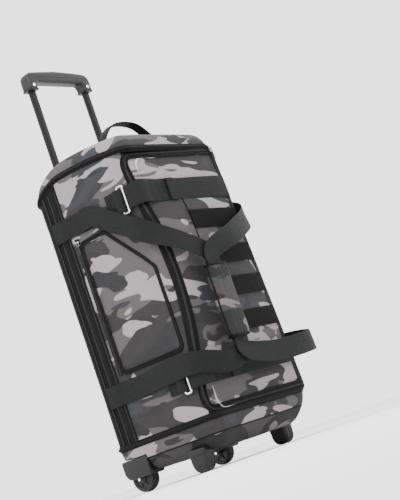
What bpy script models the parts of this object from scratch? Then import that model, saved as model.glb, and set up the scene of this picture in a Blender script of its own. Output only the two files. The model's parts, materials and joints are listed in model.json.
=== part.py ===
"""Rolling duffel bag that stands upright on two wheels and two front feet.

Its trolley handle is drawn out. Units are metres. X runs across the bag, -Y faces the lid, +Y the
trolley side, and Z is up. Every piece hangs from the empty bag_frame, which carries the bag's own
middle line to its place over the origin.
"""

import math

import bmesh
import bpy
from mathutils import Vector
from mathutils.geometry import tessellate_polygon

# ---- driving dimensions -------------------------------------------------------------------------
FRAME_SHIFT = Vector((-0.01082, 0.03325, 0.0))  # puts the origin under the middle of the whole bag
GAP = 0.0004  # clearance between pieces that touch
SEAT_GAP = 0.0005  # clearance of a moulding in the fabric it is fitted into
CLOTH = 0.004  # padded fabric wall

BAG_WIDTH = 0.322
BAG_DEPTH = 0.287
SEAM_LOW = 0.100  # seam of the wheel end
SEAM_HIGH = 0.684  # seam of the top end, along the lid
SEAM_RISE = 0.016  # how much higher that seam is at its crest
SEAM_CREST = 0.045
SEAM_DROP = 0.038  # how far it falls from the crest to the back
SEAM_EASE = 0.003  # clearance of the panels under the facets of that seam
END_RISE = 0.037  # how far the top end stands over its seam
END_BOTTOM = 0.038
END_ROUND = 0.034  # how far an end panel rounds over
END_CORNER = 0.026  # corner of the cross-section at an end seam
BACK_CORNER = 0.030
BACK_WRAP = 0.075  # where the back panel's wrap meets the side panels

LID_TRIM = 0.016
LID_THICK = 0.0045
LID_CROWN = 0.014
LID_MARGIN = 0.004
RIM_FLANGE = 0.025
RIM_CORNER = 0.010
WINDOW_CORNER = 0.020
TRIM_CORNER = 0.024
TRIM_END = 0.011  # how far short of the hinge side the trim stops

BOARD_CORNER = 0.012
BACK_BOARD_HALF = 0.124
BACK_BOARD_TOP = 0.650
BACK_BOARD_Y = (0.1335, 0.1385)
BASE_BOARD_HALF = 0.150
BASE_BOARD_Y = (-0.132, 0.130)
BASE_BOARD_Z = (0.1032, 0.1060)

WEBBING = 0.046  # carry handle webbing
STRAP = 0.050  # compression strap webbing
WEB_THICK = 0.0022
ROW_HEIGHT = 0.042
ROW_CENTRES = (0.510, 0.4265, 0.353, 0.276)
ROW_START = -0.038
ROW_END = 0.146
STRAP_HEIGHTS = {"upper": 0.583, "lower": 0.190}
HANDLE_HEIGHTS = {"upper": 0.585, "lower": 0.2105}

WEB_LIFT = 0.0012  # how far the webbing rows stand off the lid
STRAP_LIFT = 0.0032
STRAP_RUN = (-0.128, 0.140)  # where the strap lies over the lid
STRAP_TAIL = (-0.122, -0.052)  # where its far end is sewn to the right side
BUCKLE_STAND = 0.0065  # how far the buckle stands off the left side
BUCKLE_Y = -0.104
BUCKLE_SIZE = (0.0125, 0.062)
BUCKLE_SLOT = (0.0055, 0.054)
BUCKLE_CORNER = 0.002
BUCKLE_THICK = 0.0036
ROLL_RADIUS = 0.0058
ROLL_Y = -0.0898

POCKET_DEPTH = 0.018
POCKET_HINGE = 0.050
POCKET_FREE = -0.128
POCKET_LOW = 0.246
POCKET_HIGH = 0.545
POCKET_CUT = (0.075, 0.116)  # the corner that is cut away under the handle
POCKET_CORNER = 0.012
POCKET_EASE = 0.0006
LINING_LIP = 0.008
LINING_WALL = 0.0018
ZIP_LINE = 0.0575  # the slim pocket's zip, just behind the flap's hinge
LID_SLIDER_X = 0.125
SLIDER = (0.0085, 0.003, 0.012)  # across, out and up
SLIDER_LIFT = 0.0005
PULL = (0.006, 0.0016, 0.030)
PULL_LIFT = 0.0042
PULL_PIN = (0.0050, 0.003)  # the line that the pull swings on: out and up from the slider's middle
PULL_EYE = 0.0008  # how far the pull reaches past that line, clear of the slider as it swings

TROLLEY_Y = 0.108
TUBE_SPACING = 0.180
INNER_TUBE = (0.016, 0.012)
OUTER_TUBE = (0.020, 0.016)
TUBE_WALL = 0.0012
TUBE_CORNER = 0.003
OUTER_TUBE_LOW = 0.1065
INNER_TUBE_LOW = 0.600
INNER_TUBE_HIGH = 0.957
COLLAR_SIZE = (0.2324, 0.0344)
COLLAR_LOW = 0.690
COLLAR_HIGH = 0.716
GRIP_WIDTH = 0.210
GRIP_DEPTH = 0.030
GRIP_SPLIT = 0.9618
GRIP_TOP = 0.978
GRIP_UNDERSIDE = 0.948
GRIP_LEG_LOW = 0.930
GRIP_CAVITY = (0.198, 0.021)
GRIP_FLOOR = 0.9515
GRIP_ROOF = 0.9705
GRIP_CORNER = 0.010
GRIP_ARCH = 0.006  # how far the grip's top falls towards its ends
GRIP_LEG_IN = 0.076
GRIP_SHOULDER = 0.070
SCREW_HEIGHT = 0.941
SCREW_HEAD = 0.0044
SCREW_SHANK = 0.0018
SCREW_TIP = 0.0112
ROD_RADIUS = 0.0025
ROD_LOW = 0.610
ROD_LENGTH = 0.3525
BUTTON_LOW = 0.9630
BUTTON_BAR = (0.187, 0.0134)
BUTTON_BAR_TOP = 0.9664
BUTTON_CAP = 0.033
BUTTON_PROUD = 0.0022

WHEEL_RADIUS = 0.030
WHEEL_WIDTH = 0.024
WHEEL_X = 0.137
WHEEL_Y = 0.107
AXLE_RADIUS = 0.003
AXLE_LENGTH = 0.045
WHEEL_HUB = 0.009
WHEEL_DISH = 0.022
TYRE_EDGE = 0.003
HOUSING_INNER = 0.1120
HOUSING_FRONT = 0.0680
HOUSING_TOP = 0.0750
HOUSING_CORNER = 0.009
WELL = (0.030, 0.068)
WELL_TOP = 0.0655
FOOT_X = 0.146
FOOT_Y = -0.065
FOOT_PLATE = (0.0390, 0.0456)
FOOT_HEIGHT = 0.0495
FOOT_CORNER = 0.006
GRAB_Y = -0.035
GRAB_SPAN = 0.176
GRAB_RISE = 0.045
GRAB_WEBBING = (0.025, 0.003)
GRAB_FOOT = 0.016  # length of each sewn foot

WRAP_CENTRE = Vector((-0.063, -0.194, 0.318))
WRAP_LENGTH = 0.158
WRAP_SIZE = (0.064, 0.032)
WRAP_WALL = 0.0055
WRAP_SLOT = 0.0060  # half the height of the slot that the webbing runs through
WRAP_END = (0.012, 0.86)  # length of the tapered ends, and how far they taper
WRAP_RUN = (0.104, 0.075, 0.0, -0.075, -0.104)  # where the webbing runs straight through the wrap

HALF_W = BAG_WIDTH / 2
HALF_D = BAG_DEPTH / 2
LID_BACK = -HALF_D - GAP
LID_FRONT = LID_BACK - LID_THICK - 0.0015
LID_LEFT = -HALF_W + LID_TRIM + GAP
LID_RIGHT = HALF_W - 0.0045  # short of the hinge line, so that its edge clears the side as it opens
LID_LOW = SEAM_LOW + LID_MARGIN + LID_TRIM + GAP
LID_HIGH = SEAM_HIGH - LID_MARGIN - LID_TRIM - GAP
HINGE_X = HALF_W - 0.0025
SIDES = (("left", -1), ("right", 1))

# ---- materials: colour, roughness, metallic -------------------------------------------------------
FINISHES = {
    "camouflage": ((0.36, 0.32, 0.33), 0.85, 0.0),
    "black_fabric": ((0.025, 0.025, 0.027), 0.8, 0.0),
    "webbing": ((0.022, 0.023, 0.022), 0.75, 0.0),
    "lining": ((0.55, 0.56, 0.60), 0.6, 0.0),
    "board": ((0.12, 0.12, 0.12), 0.7, 0.0),
    "tube": ((0.05, 0.05, 0.055), 0.35, 0.9),
    "plastic": ((0.02, 0.02, 0.022), 0.45, 0.0),
    "metal": ((0.75, 0.75, 0.77), 0.2, 1.0),
    "rubber": ((0.018, 0.018, 0.018), 0.8, 0.0),
}


def clear_scene():
    for old in list(bpy.data.objects):
        bpy.data.objects.remove(old, do_unlink=True)


def material(name):
    made = bpy.data.materials.get(name)
    if made is None:
        colour, roughness, metallic = FINISHES[name]
        made = bpy.data.materials.new(name)
        made.use_nodes = True
        shader = made.node_tree.nodes["Principled BSDF"]
        shader.inputs["Base Color"].default_value = (*colour, 1.0)
        shader.inputs["Roughness"].default_value = roughness
        shader.inputs["Metallic"].default_value = metallic
    return made


# ---- outlines -------------------------------------------------------------------------------------
def rectangle(u0, u1, v0, v1):
    return [(u0, v0), (u1, v0), (u1, v1), (u0, v1)]


def rounded(points, radius, steps=4, between=0):
    """The closed outline with every corner turned into an arc, and extra points between the arcs."""
    outline = []
    count = len(points)
    for i, corner in enumerate(points):
        corner = Vector(corner)
        before = (Vector(points[i - 1]) - corner).normalized()
        after = (Vector(points[(i + 1) % count]) - corner).normalized()
        half = before.angle(after) / 2
        centre = corner + (before + after).normalized() * radius / math.sin(half)
        start = corner + before * radius / math.tan(half) - centre
        end = corner + after * radius / math.tan(half) - centre
        for step in range(steps + 1):
            outline.append(tuple(centre + start.lerp(end, step / steps).normalized() * radius))
    if not between:
        return outline
    spread = []
    for i, point in enumerate(outline):
        spread.append(point)
        if i % (steps + 1) == steps:
            following = Vector(outline[(i + 1) % len(outline)])
            for k in range(1, between + 1):
                spread.append(tuple(Vector(point).lerp(following, k / (between + 1))))
    return spread


def seam_height(y):
    """Height of the top end's seam: it rises from the lid to a crest and falls towards the back."""
    if y < SEAM_CREST:
        return SEAM_HIGH + SEAM_RISE * (1 - ((y - SEAM_CREST) / (HALF_D + SEAM_CREST)) ** 2)
    return SEAM_HIGH + SEAM_RISE - SEAM_DROP * ((y - SEAM_CREST) / (HALF_D - SEAM_CREST)) ** 2


def arc(centre, radius, start, end, steps):
    """Points on an arc; the angles are in degrees."""
    angles = [math.radians(start + (end - start) * i / steps) for i in range(steps + 1)]
    return [(centre[0] + radius * math.cos(a), centre[1] + radius * math.sin(a)) for a in angles]


def band(path, width):
    """The closed outline of a band of this width, laid to the right of an open path."""
    side = []
    for i, point in enumerate(path):
        before = Vector(path[max(i - 1, 0)])
        after = Vector(path[min(i + 1, len(path) - 1)])
        along = (after - before).normalized()
        side.append((point[0] + along.y * width, point[1] - along.x * width))
    return list(path) + side[::-1]


def smooth_path(points, samples=6):
    """A centripetal Catmull-Rom curve through the points."""
    points = [Vector(p) for p in points]
    padded = [2 * points[0] - points[1], *points, 2 * points[-1] - points[-2]]
    curve = []
    for a, b, c, d in zip(padded, padded[1:], padded[2:], padded[3:]):
        knot_b = math.sqrt((b - a).length)
        knot_c = knot_b + math.sqrt((c - b).length)
        knot_d = knot_c + math.sqrt((d - c).length)
        for i in range(samples):
            t = knot_b + (knot_c - knot_b) * i / samples
            across = (t - knot_b) / (knot_c - knot_b)
            from_a = a.lerp(b, t / knot_b).lerp(b.lerp(c, across), t / knot_c)
            to_d = c.lerp(d, (t - knot_c) / (knot_d - knot_c))
            towards = b.lerp(c, across).lerp(to_d, (t - knot_b) / (knot_d - knot_b))
            curve.append(from_a.lerp(towards, across))
    return [*curve, points[-1]]


def blended(directions, samples=6):
    """Directions at the points of a smooth path, turned evenly from each control direction to the next."""
    turned_to = []
    for first, second in zip(directions, directions[1:]):
        turned_to += [first.lerp(second, i / samples).normalized() for i in range(samples)]
    return [*turned_to, directions[-1]]


# ---- solids -----------------------------------------------------------------------------------------
def set_in_space(axis, u, v, w):
    """A point of an outline (u, v) at distance w along the axis it is extruded on."""
    return Vector({"X": (w, u, v), "Y": (u, w, v), "Z": (u, v, w)}[axis])


def prism(outline, axis, low, high, holes=()):
    """An outline, less any holes, extruded along an axis."""
    mesh = bmesh.new()
    loops = [outline, *holes]
    ends = []
    for w in (low, high):
        ends.append([[mesh.verts.new(set_in_space(axis, *p, w)) for p in loop] for loop in loops])
    for loop_low, loop_high in zip(*ends):
        for i in range(len(loop_low)):
            mesh.faces.new((loop_low[i - 1], loop_low[i], loop_high[i], loop_high[i - 1]))
    for end in ends:
        verts = [v for loop in end for v in loop]
        for face in tessellate_polygon([[v.co for v in loop] for loop in end]):
            mesh.faces.new([verts[i] for i in face])
    return mesh


def loft(rings, cyclic=False):
    """Rings of equal counts joined in order; the first and last are filled, or joined to each other."""
    mesh = bmesh.new()
    made = [[mesh.verts.new(p) for p in ring] for ring in rings]
    for first, second in zip(made, made[1:] + made[:1] if cyclic else made[1:]):
        for i in range(len(first)):
            mesh.faces.new((first[i - 1], first[i], second[i], second[i - 1]))
    if not cyclic:
        mesh.faces.new(made[0])
        mesh.faces.new(made[-1])
    return mesh


def turned_rings(profile, axis, centre, steps):
    """A circle for each (radius, distance along the axis) point of a turned profile."""
    rings = []
    for radius, along in profile:
        circle = arc((0, 0), radius, 0, 360 - 360 / steps, steps - 1)
        rings.append([Vector(centre) + set_in_space(axis, *p, along) for p in circle])
    return rings


def turned(profile, axis, centre, steps):
    """A turned piece, filled at both ends."""
    return loft(turned_rings(profile, axis, centre, steps))


def ribbon(path, across, width, thickness):
    """A flat strap along a path; across gives the direction of its width at each point."""
    rings = []
    for i, point in enumerate(path):
        along = (path[min(i + 1, len(path) - 1)] - path[max(i - 1, 0)]).normalized()
        side = (across[i] - along * across[i].dot(along)).normalized()
        up = along.cross(side) * thickness / 2
        side = side * width / 2
        rings.append([point - side - up, point + side - up, point + side + up, point - side + up])
    return loft(rings)


def piece(name, mesh, finish, pivot=(0, 0, 0), smooth_angle=35):
    """Turns a mesh into a named piece whose origin is its pivot, in the bag's frame."""
    pivot = Vector(pivot)
    bmesh.ops.translate(mesh, verts=mesh.verts, vec=-pivot)
    bmesh.ops.recalc_face_normals(mesh, faces=mesh.faces)
    data = bpy.data.meshes.new(name)
    mesh.to_mesh(data)
    mesh.free()
    data.materials.append(material(finish))
    data.shade_smooth()
    data.set_sharp_from_angle(angle=math.radians(smooth_angle))
    made = bpy.data.objects.new(name, data)
    made.location = pivot
    made.parent = bpy.data.objects["bag_frame"]
    bpy.context.scene.collection.objects.link(made)
    return made


def cut(body, mesh, name):
    """Cuts a closed shape, given in the bag's frame, out of a piece."""
    cutter = piece(f"{body.name}_{name}", mesh, "plastic")
    cutter.hide_render = True
    cutter.display_type = "WIRE"
    boolean = body.modifiers.new(name, "BOOLEAN")
    boolean.operation = "DIFFERENCE"
    boolean.object = cutter


def bevel(body, width, segments=1):
    made = body.modifiers.new("edge", "BEVEL")
    made.width = width
    made.segments = segments
    made.limit_method = "ANGLE"


def box(x, y, z):
    """A box from its (low, high) along X, Y and Z."""
    return prism(rectangle(*x, *y), "Z", *z)


def mirrored(sign, low, high):
    """The (low, high) of a stretch of X on one side of the bag."""
    return (low, high) if sign > 0 else (-high, -low)


def middle(centre, size):
    return (centre - size / 2, centre + size / 2)


# ---- the bag's shell --------------------------------------------------------------------------------
def pocket_outline(grow=0.0):
    """The side pocket flap in (y, z): its upper front corner is cut away under the carry handle."""
    mitre = grow * 0.4  # keeps the diagonal edge parallel to itself
    points = [
        (POCKET_HINGE + grow, POCKET_LOW - grow),
        (POCKET_HINGE + grow, POCKET_HIGH + grow),
        (POCKET_HINGE - POCKET_CUT[0] - mitre, POCKET_HIGH + grow),
        (POCKET_FREE - grow, POCKET_HIGH - POCKET_CUT[1] + mitre),
        (POCKET_FREE - grow, POCKET_LOW - grow),
    ]
    return rounded(points, POCKET_CORNER + grow)


def side_panel(name, sign):
    front, rear = -HALF_D, BACK_WRAP - GAP
    top = [(y, seam_height(y) - SEAM_EASE) for y in stretch(rear, front, 8)]
    outline = [(front, SEAM_LOW + GAP), (rear, SEAM_LOW + GAP), *top]
    wall = mirrored(sign, HALF_W - CLOTH, HALF_W)
    window = pocket_outline(POCKET_EASE)
    piece(f"{name}_side_panel", prism(outline, "X", *wall, holes=[window]), "camouflage")


def pocket_lining(name, sign):
    """A shallow tray behind the pocket's window, open outwards."""
    mouth = HALF_W - CLOTH - GAP
    floor = HALF_W - CLOTH - POCKET_DEPTH
    outer, inner = pocket_outline(LINING_LIP), pocket_outline(LINING_LIP - LINING_WALL)
    steps = ((outer, floor - LINING_WALL), (outer, mouth), (inner, mouth), (inner, floor))
    rings = [[set_in_space("X", *p, sign * x) for p in outline] for outline, x in steps]
    piece(f"{name}_pocket_lining", loft(rings), "lining")


def back_panel():
    """The black back, which wraps round both rear corners."""
    left = arc((-HALF_W + BACK_CORNER, HALF_D - BACK_CORNER), BACK_CORNER, 180, 90, 5)
    right = arc((HALF_W - BACK_CORNER, HALF_D - BACK_CORNER), BACK_CORNER, 90, 0, 5)
    wrap = stretch(BACK_WRAP, HALF_D - BACK_CORNER, 3)[:-1]
    path = [*[(-HALF_W, y) for y in wrap], *left, *right, *[(HALF_W, y) for y in wrap[::-1]]]
    mesh = prism(band(path, CLOTH), "Z", SEAM_LOW + GAP, SEAM_HIGH)
    for vert in mesh.verts:
        if vert.co.z > SEAM_LOW + GAP + SEAM_EASE:
            vert.co.z = seam_height(vert.co.y) - SEAM_EASE
    piece("back_panel", mesh, "black_fabric")


def front_rim():
    """The frame of fabric round the main opening, which carries the fixed half of the zip."""
    reach = HALF_W - CLOTH - GAP
    outer = rounded(rectangle(-reach, reach, SEAM_LOW + GAP, SEAM_HIGH - GAP), RIM_CORNER)
    inset = reach - RIM_FLANGE
    window = rectangle(-inset, inset, SEAM_LOW + RIM_FLANGE, SEAM_HIGH - RIM_FLANGE)
    mesh = prism(outer, "Y", -HALF_D, -HALF_D + CLOTH, holes=[rounded(window, WINDOW_CORNER)])
    piece("front_rim", mesh, "black_fabric")


def end_outline(inset):
    """The bag's cross-section, pulled in by an inset."""
    x, y = HALF_W - inset, HALF_D - inset
    return rounded(rectangle(-x, x, -y, y), END_CORNER - inset * 0.5, steps=4, between=5)


def end_panel(name, seam, rise):
    """A padded end that rounds over from its seam to its crown: a shallow cup, open towards the bag."""
    quarter = [math.radians(a) for a in (0, 22.5, 45, 67.5, 90)]
    outer = [(END_ROUND * (1 - math.cos(a)), rise * math.sin(a)) for a in quarter]
    wall = math.copysign(CLOTH, rise)
    inner = [(inset + CLOTH * math.cos(a), z - wall * math.sin(a)) for a, (inset, z) in zip(quarter, outer)]
    rings = [[Vector((x, y, seam(y) + z)) for x, y in end_outline(inset)] for inset, z in outer[::-1] + inner]
    return piece(name, loft(rings), "camouflage")


def top_end():
    panel = end_panel("top_end_panel", seam_height, END_RISE)
    width, depth = [size + 2 * GAP for size in COLLAR_SIZE]
    slot = box(middle(0, width), middle(TROLLEY_Y, depth), (COLLAR_LOW - END_ROUND, COLLAR_HIGH + END_ROUND))
    cut(panel, slot, "collar_slot")


def wheel_end():
    panel = end_panel("wheel_end_panel", lambda y: SEAM_LOW, END_BOTTOM - SEAM_LOW)
    for name, sign in SIDES:
        inner, front = HOUSING_INNER - SEAT_GAP, HOUSING_FRONT - SEAT_GAP
        corner = box(mirrored(sign, inner, BAG_WIDTH), (front, BAG_DEPTH), (0.0, HOUSING_TOP + SEAT_GAP))
        cut(panel, corner, f"{name}_corner")
        inner, depth = FOOT_X - FOOT_PLATE[0] / 2 - 2 * SEAT_GAP, FOOT_PLATE[1] + 3 * SEAT_GAP
        foot = box(mirrored(sign, inner, BAG_WIDTH), middle(FOOT_Y, depth), (0.0, FOOT_HEIGHT + 2 * SEAT_GAP))
        cut(panel, foot, f"{name}_foot_seat")


def boards():
    """Stiffeners behind the trolley tubes and over the wheels."""
    back = rectangle(-BACK_BOARD_HALF, BACK_BOARD_HALF, OUTER_TUBE_LOW, BACK_BOARD_TOP)
    piece("back_board", prism(rounded(back, BOARD_CORNER), "Y", *BACK_BOARD_Y), "board")
    base = rectangle(-BASE_BOARD_HALF, BASE_BOARD_HALF, *BASE_BOARD_Y)
    piece("base_board", prism(rounded(base, BOARD_CORNER), "Z", *BASE_BOARD_Z), "board")


# ---- lid --------------------------------------------------------------------------------------------
def lid_front(x, z):
    """The crowned face of the lid: y at a place (x, z)."""
    u = (2 * x - LID_LEFT - LID_RIGHT) / (LID_RIGHT - LID_LEFT)
    v = (2 * z - LID_LOW - LID_HIGH) / (LID_HIGH - LID_LOW)
    u, v = min(abs(u), 1.0), min(abs(v), 1.0)
    return LID_FRONT - LID_CROWN * (1 - u**3) * (1 - v**4)


def stretch(low, high, steps):
    return [low + (high - low) * i / steps for i in range(steps + 1)]


def lid_panel():
    pivot = (HINGE_X, LID_BACK + GAP / 2, (LID_LOW + LID_HIGH) / 2)
    heights = stretch(LID_LOW, LID_HIGH, 12)
    rings = []
    for x in stretch(LID_LEFT, LID_RIGHT, 12):
        outside = [Vector((x, lid_front(x, z), z)) for z in heights]
        inside = [Vector((x, lid_front(x, z) + LID_THICK, z)) for z in heights]
        rings.append(outside + inside[::-1])
    piece("main_lid", loft(rings), "camouflage", pivot)


def lid_trim():
    """The zip's tape and binding round three sides of the lid."""
    right = HALF_W - TRIM_END
    left, low, high = -HALF_W, SEAM_LOW + LID_MARGIN, SEAM_HIGH - LID_MARGIN
    radius = TRIM_CORNER
    top = arc((left + radius, high - radius), radius, 90, 180, 5)
    bottom = arc((left + radius, low + radius), radius, 180, 270, 5)
    inner_left, inner_low, inner_high = left + LID_TRIM, low + LID_TRIM, high - LID_TRIM
    inside = [(right, inner_low), (inner_left, inner_low), (inner_left, inner_high), (right, inner_high)]
    outline = [(right, high), *top, *bottom, (right, low), *inside]
    piece("lid_zip_trim", prism(outline, "Y", LID_FRONT - 0.001, LID_BACK), "black_fabric")


def lid_rows():
    """Four rows of wide webbing across the right of the lid."""
    for number, centre in enumerate(ROW_CENTRES, start=1):
        rings = []
        for x in stretch(ROW_START, ROW_END, 8):
            low, high = middle(centre, ROW_HEIGHT)
            back = min(lid_front(x, z) for z in (low, centre, high)) - WEB_LIFT
            section = rectangle(back, back - WEB_THICK, low, high)
            rings.append([set_in_space("X", *p, x) for p in section])
        piece(f"lid_webbing_{number}", loft(rings), "webbing")


def compression_strap(name, centre):
    """The strap over the lid, its metal buckle, and the anchor pieces on the bag's two sides."""
    lifted = Vector((0, 0, centre))
    side_x = -HALF_W - BUCKLE_STAND
    over = [Vector((x, lid_front(x, centre) - STRAP_LIFT, 0)) for x in stretch(*STRAP_RUN, 8)]
    route = [(side_x, -0.111, 0), (side_x, -0.134, 0), (side_x + 0.006, -0.1555, 0), *over]
    path = [Vector(p) + lifted for p in route]
    piece(f"{name}_strap", ribbon(path, [Vector((0, 0, 1))] * len(path), STRAP, WEB_THICK), "webbing")

    hole, ring = [
        rounded(rectangle(*middle(BUCKLE_Y, depth), *middle(centre, height)), corner, steps=2)
        for (depth, height), corner in ((BUCKLE_SLOT, BUCKLE_CORNER / 2), (BUCKLE_SIZE, BUCKLE_CORNER))
    ]
    piece(f"{name}_buckle", prism(ring, "X", *middle(side_x, BUCKLE_THICK), holes=[hole]), "metal")

    profile = [(ROLL_RADIUS, -STRAP / 2), (ROLL_RADIUS, STRAP / 2)]
    roll = turned(profile, "Z", (side_x, ROLL_Y, centre), 12)
    piece(f"{name}_anchor_loop", roll, "webbing")

    tail = rectangle(*STRAP_TAIL, *middle(centre, STRAP))
    outside = (HALF_W + GAP, HALF_W + GAP + WEB_THICK)
    piece(f"{name}_strap_anchor", prism(tail, "X", *outside), "webbing")


# ---- zip sliders and pulls --------------------------------------------------------------------------
def pocket_flap(name, sign):
    pivot = (sign * HALF_W, POCKET_HINGE + 0.0005, (POCKET_LOW + POCKET_HIGH) / 2)
    wall = mirrored(sign, HALF_W - CLOTH, HALF_W)
    piece(f"{name}_pocket_flap", prism(pocket_outline(), "X", *wall), "camouflage", pivot)


def slider(name, place, outward):
    """A zip slider and its pull, which hangs from a pin line at the slider's top."""
    outward = Vector(outward)
    across = Vector((abs(outward.y), abs(outward.x), 0))
    centre = Vector(place)
    up = Vector((0, 0, 1))

    def block(size, lift, height):
        base = centre + outward * lift + up * height
        corners = rounded(rectangle(*middle(0, size[0]), *middle(0, size[2])), size[0] * 0.2, steps=2)
        return [[base + across * a + up * b + outward * out for a, b in corners] for out in (0, size[1])]

    piece(f"{name}_slider", loft(block(SLIDER, SLIDER_LIFT, 0)), "metal", centre)
    pin = centre + outward * PULL_PIN[0] + up * PULL_PIN[1]
    middle_height = PULL_PIN[1] + PULL_EYE - PULL[2] / 2
    piece(f"{name}_pull", loft(block(PULL, PULL_LIFT, middle_height)), "metal", pin)


def zips():
    for name, sign in SIDES:
        slider(f"{name}_pocket", (sign * HALF_W, ZIP_LINE, POCKET_HIGH), (sign, 0, 0))
    top_edge = SEAM_HIGH - LID_MARGIN - LID_TRIM / 2
    slider("lid", (LID_SLIDER_X, LID_FRONT - 0.001, top_edge), (0, -1, 0))


# ---- carry handles ----------------------------------------------------------------------------------
def handle_anchor(name, sign, place):
    """The stretch of webbing that is sewn to the side, from the rear seam to the fold."""
    start = HALF_D - BACK_CORNER
    centre = HANDLE_HEIGHTS[place]
    outline = rectangle(0.0015, start, *middle(centre, WEBBING))
    wall = mirrored(sign, HALF_W + GAP, HALF_W + GAP + WEB_THICK)
    piece(f"{name}_handle_anchor_{place}", prism(outline, "X", *wall), "webbing")


def handle_loop(name, sign, layer, upper, lower):
    """A free loop of webbing, from the upper fold through the wrap to the lower fold."""
    up = Vector((0, 0, 1))
    flat = Vector((-sign, 0, 0))
    outside = sign * (HALF_W + 0.0074)
    inside = WRAP_CENTRE + Vector((0, layer, 0))
    through = [tuple(inside + Vector((0, 0, z))) for z in WRAP_RUN]
    start = (outside, -0.003, HANDLE_HEIGHTS["upper"])
    end = (outside, -0.003, HANDLE_HEIGHTS["lower"])
    points = [start, *upper, *through, *lower, end]
    turn = [up] * len(upper) + [(up + flat).normalized()]
    turn += [flat] * len(through) + [(flat - up).normalized()] + [-up] * len(lower)
    path = smooth_path(points)
    pivot = (sign * HALF_W, 0.0, (start[2] + end[2]) / 2)
    piece(f"{name}_handle", ribbon(path, blended(turn), WEBBING, WEB_THICK), "webbing", pivot)


def handle_wrap():
    """The padded sleeve round both loops."""
    low, high = middle(WRAP_CENTRE.z, WRAP_LENGTH)
    half_x, half_y = WRAP_SIZE[0] / 2, WRAP_SIZE[1] / 2
    outer_outline = rounded(rectangle(-half_x, half_x, -half_y, half_y), half_y * 0.95, steps=4)
    slot = rectangle(-half_x + WRAP_WALL, half_x - WRAP_WALL, -WRAP_SLOT, WRAP_SLOT)
    inner_outline = rounded(slot, WRAP_SLOT * 0.83, steps=4)
    end, taper = WRAP_END
    rings = []
    for outline, z, scale in (
        (outer_outline, low, taper),
        (outer_outline, low + end, 1.0),
        (outer_outline, high - end, 1.0),
        (outer_outline, high, taper),
        (inner_outline, high, 1.0),
        (inner_outline, low, 1.0),
    ):
        rings.append([Vector((WRAP_CENTRE.x + x * scale, WRAP_CENTRE.y + y * scale, z)) for x, y in outline])
    piece("handle_wrap", loft(rings, cyclic=True), "camouflage", (-HALF_W, 0.0, WRAP_CENTRE.z))


def carry_handles():
    for name, sign in SIDES:
        for place in HANDLE_HEIGHTS:
            handle_anchor(name, sign, place)
    handle_loop(
        "left",
        -1,
        0.003,
        upper=[(-0.173, -0.070, 0.545), (-0.172, -0.145, 0.495), (-0.115, -0.185, 0.455)],
        lower=[(-0.112, -0.186, 0.196), (-0.172, -0.155, 0.212), (-0.175, -0.080, 0.214)],
    )
    handle_loop(
        "right",
        1,
        -0.003,
        upper=[(0.178, -0.070, 0.555), (0.182, -0.145, 0.515), (0.040, -0.201, 0.462)],
        lower=[(0.020, -0.203, 0.192), (0.178, -0.196, 0.197), (0.200, -0.105, 0.212)],
    )
    handle_wrap()


def grab_handle():
    """The webbing arch on the top end, standing on its two sewn feet."""
    width, thickness = GRAB_WEBBING
    base = seam_height(GRAB_Y + width / 2) + END_RISE + GAP + thickness / 2
    half = GRAB_SPAN / 2
    points = [
        (-half - GRAB_FOOT, GRAB_Y, base),
        (-half, GRAB_Y, base),
        (-half + 0.018, GRAB_Y, base + GRAB_RISE * 0.45),
        (-half * 0.42, GRAB_Y, base + GRAB_RISE * 0.93),
        (half * 0.42, GRAB_Y, base + GRAB_RISE * 0.93),
        (half - 0.018, GRAB_Y, base + GRAB_RISE * 0.45),
        (half, GRAB_Y, base),
        (half + GRAB_FOOT, GRAB_Y, base),
    ]
    path = smooth_path(points, samples=4)
    path = [Vector((p.x, p.y, max(p.z, base))) for p in path]
    mesh = ribbon(path, [Vector((0, 1, 0))] * len(path), *GRAB_WEBBING)
    piece("top_grab_handle", mesh, "webbing", (0, GRAB_Y, base))


# ---- trolley ----------------------------------------------------------------------------------------
def tube_outline(x, size, radius):
    return rounded(rectangle(*middle(x, size[0]), *middle(TROLLEY_Y, size[1])), radius, steps=2)


def tube(name, size, x, low, high):
    """A thin-walled rectangular tube, open at both ends."""
    outer = tube_outline(x, size, TUBE_CORNER)
    inner = tube_outline(x, [side - 2 * TUBE_WALL for side in size], TUBE_CORNER - TUBE_WALL)
    steps = ((outer, low), (outer, high), (inner, high), (inner, low))
    rings = [[Vector((*p, z)) for p in outline] for outline, z in steps]
    return piece(name, loft(rings, cyclic=True), "tube")


def trolley_tubes():
    for name, sign in SIDES:
        x = sign * TUBE_SPACING / 2
        tube(f"trolley_outer_tube_{name}", OUTER_TUBE, x, OUTER_TUBE_LOW, COLLAR_LOW - GAP)
        inner = tube(f"trolley_inner_tube_{name}", INNER_TUBE, x, INNER_TUBE_LOW, INNER_TUBE_HIGH)
        bore = turned([(0.0022, -0.009), (0.0022, -0.002)], "Y", (x, TROLLEY_Y, SCREW_HEIGHT), 12)
        cut(inner, bore, "screw_bore")
        rod = turned([(ROD_RADIUS, 0), (ROD_RADIUS, ROD_LENGTH)], "Z", (x, TROLLEY_Y, ROD_LOW), 10)
        piece(f"push_rod_{name}", rod, "metal")


def collar():
    width, depth = COLLAR_SIZE
    outline = rounded(rectangle(*middle(0, width), *middle(TROLLEY_Y, depth)), 0.005)
    hole = [side + 2 * SEAT_GAP for side in INNER_TUBE]
    holes = [tube_outline(sign * TUBE_SPACING / 2, hole, TUBE_CORNER) for _, sign in SIDES]
    body = piece("trolley_collar", prism(outline, "Z", COLLAR_LOW, COLLAR_HIGH, holes=holes), "plastic")
    bevel(body, 0.0012)


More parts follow.
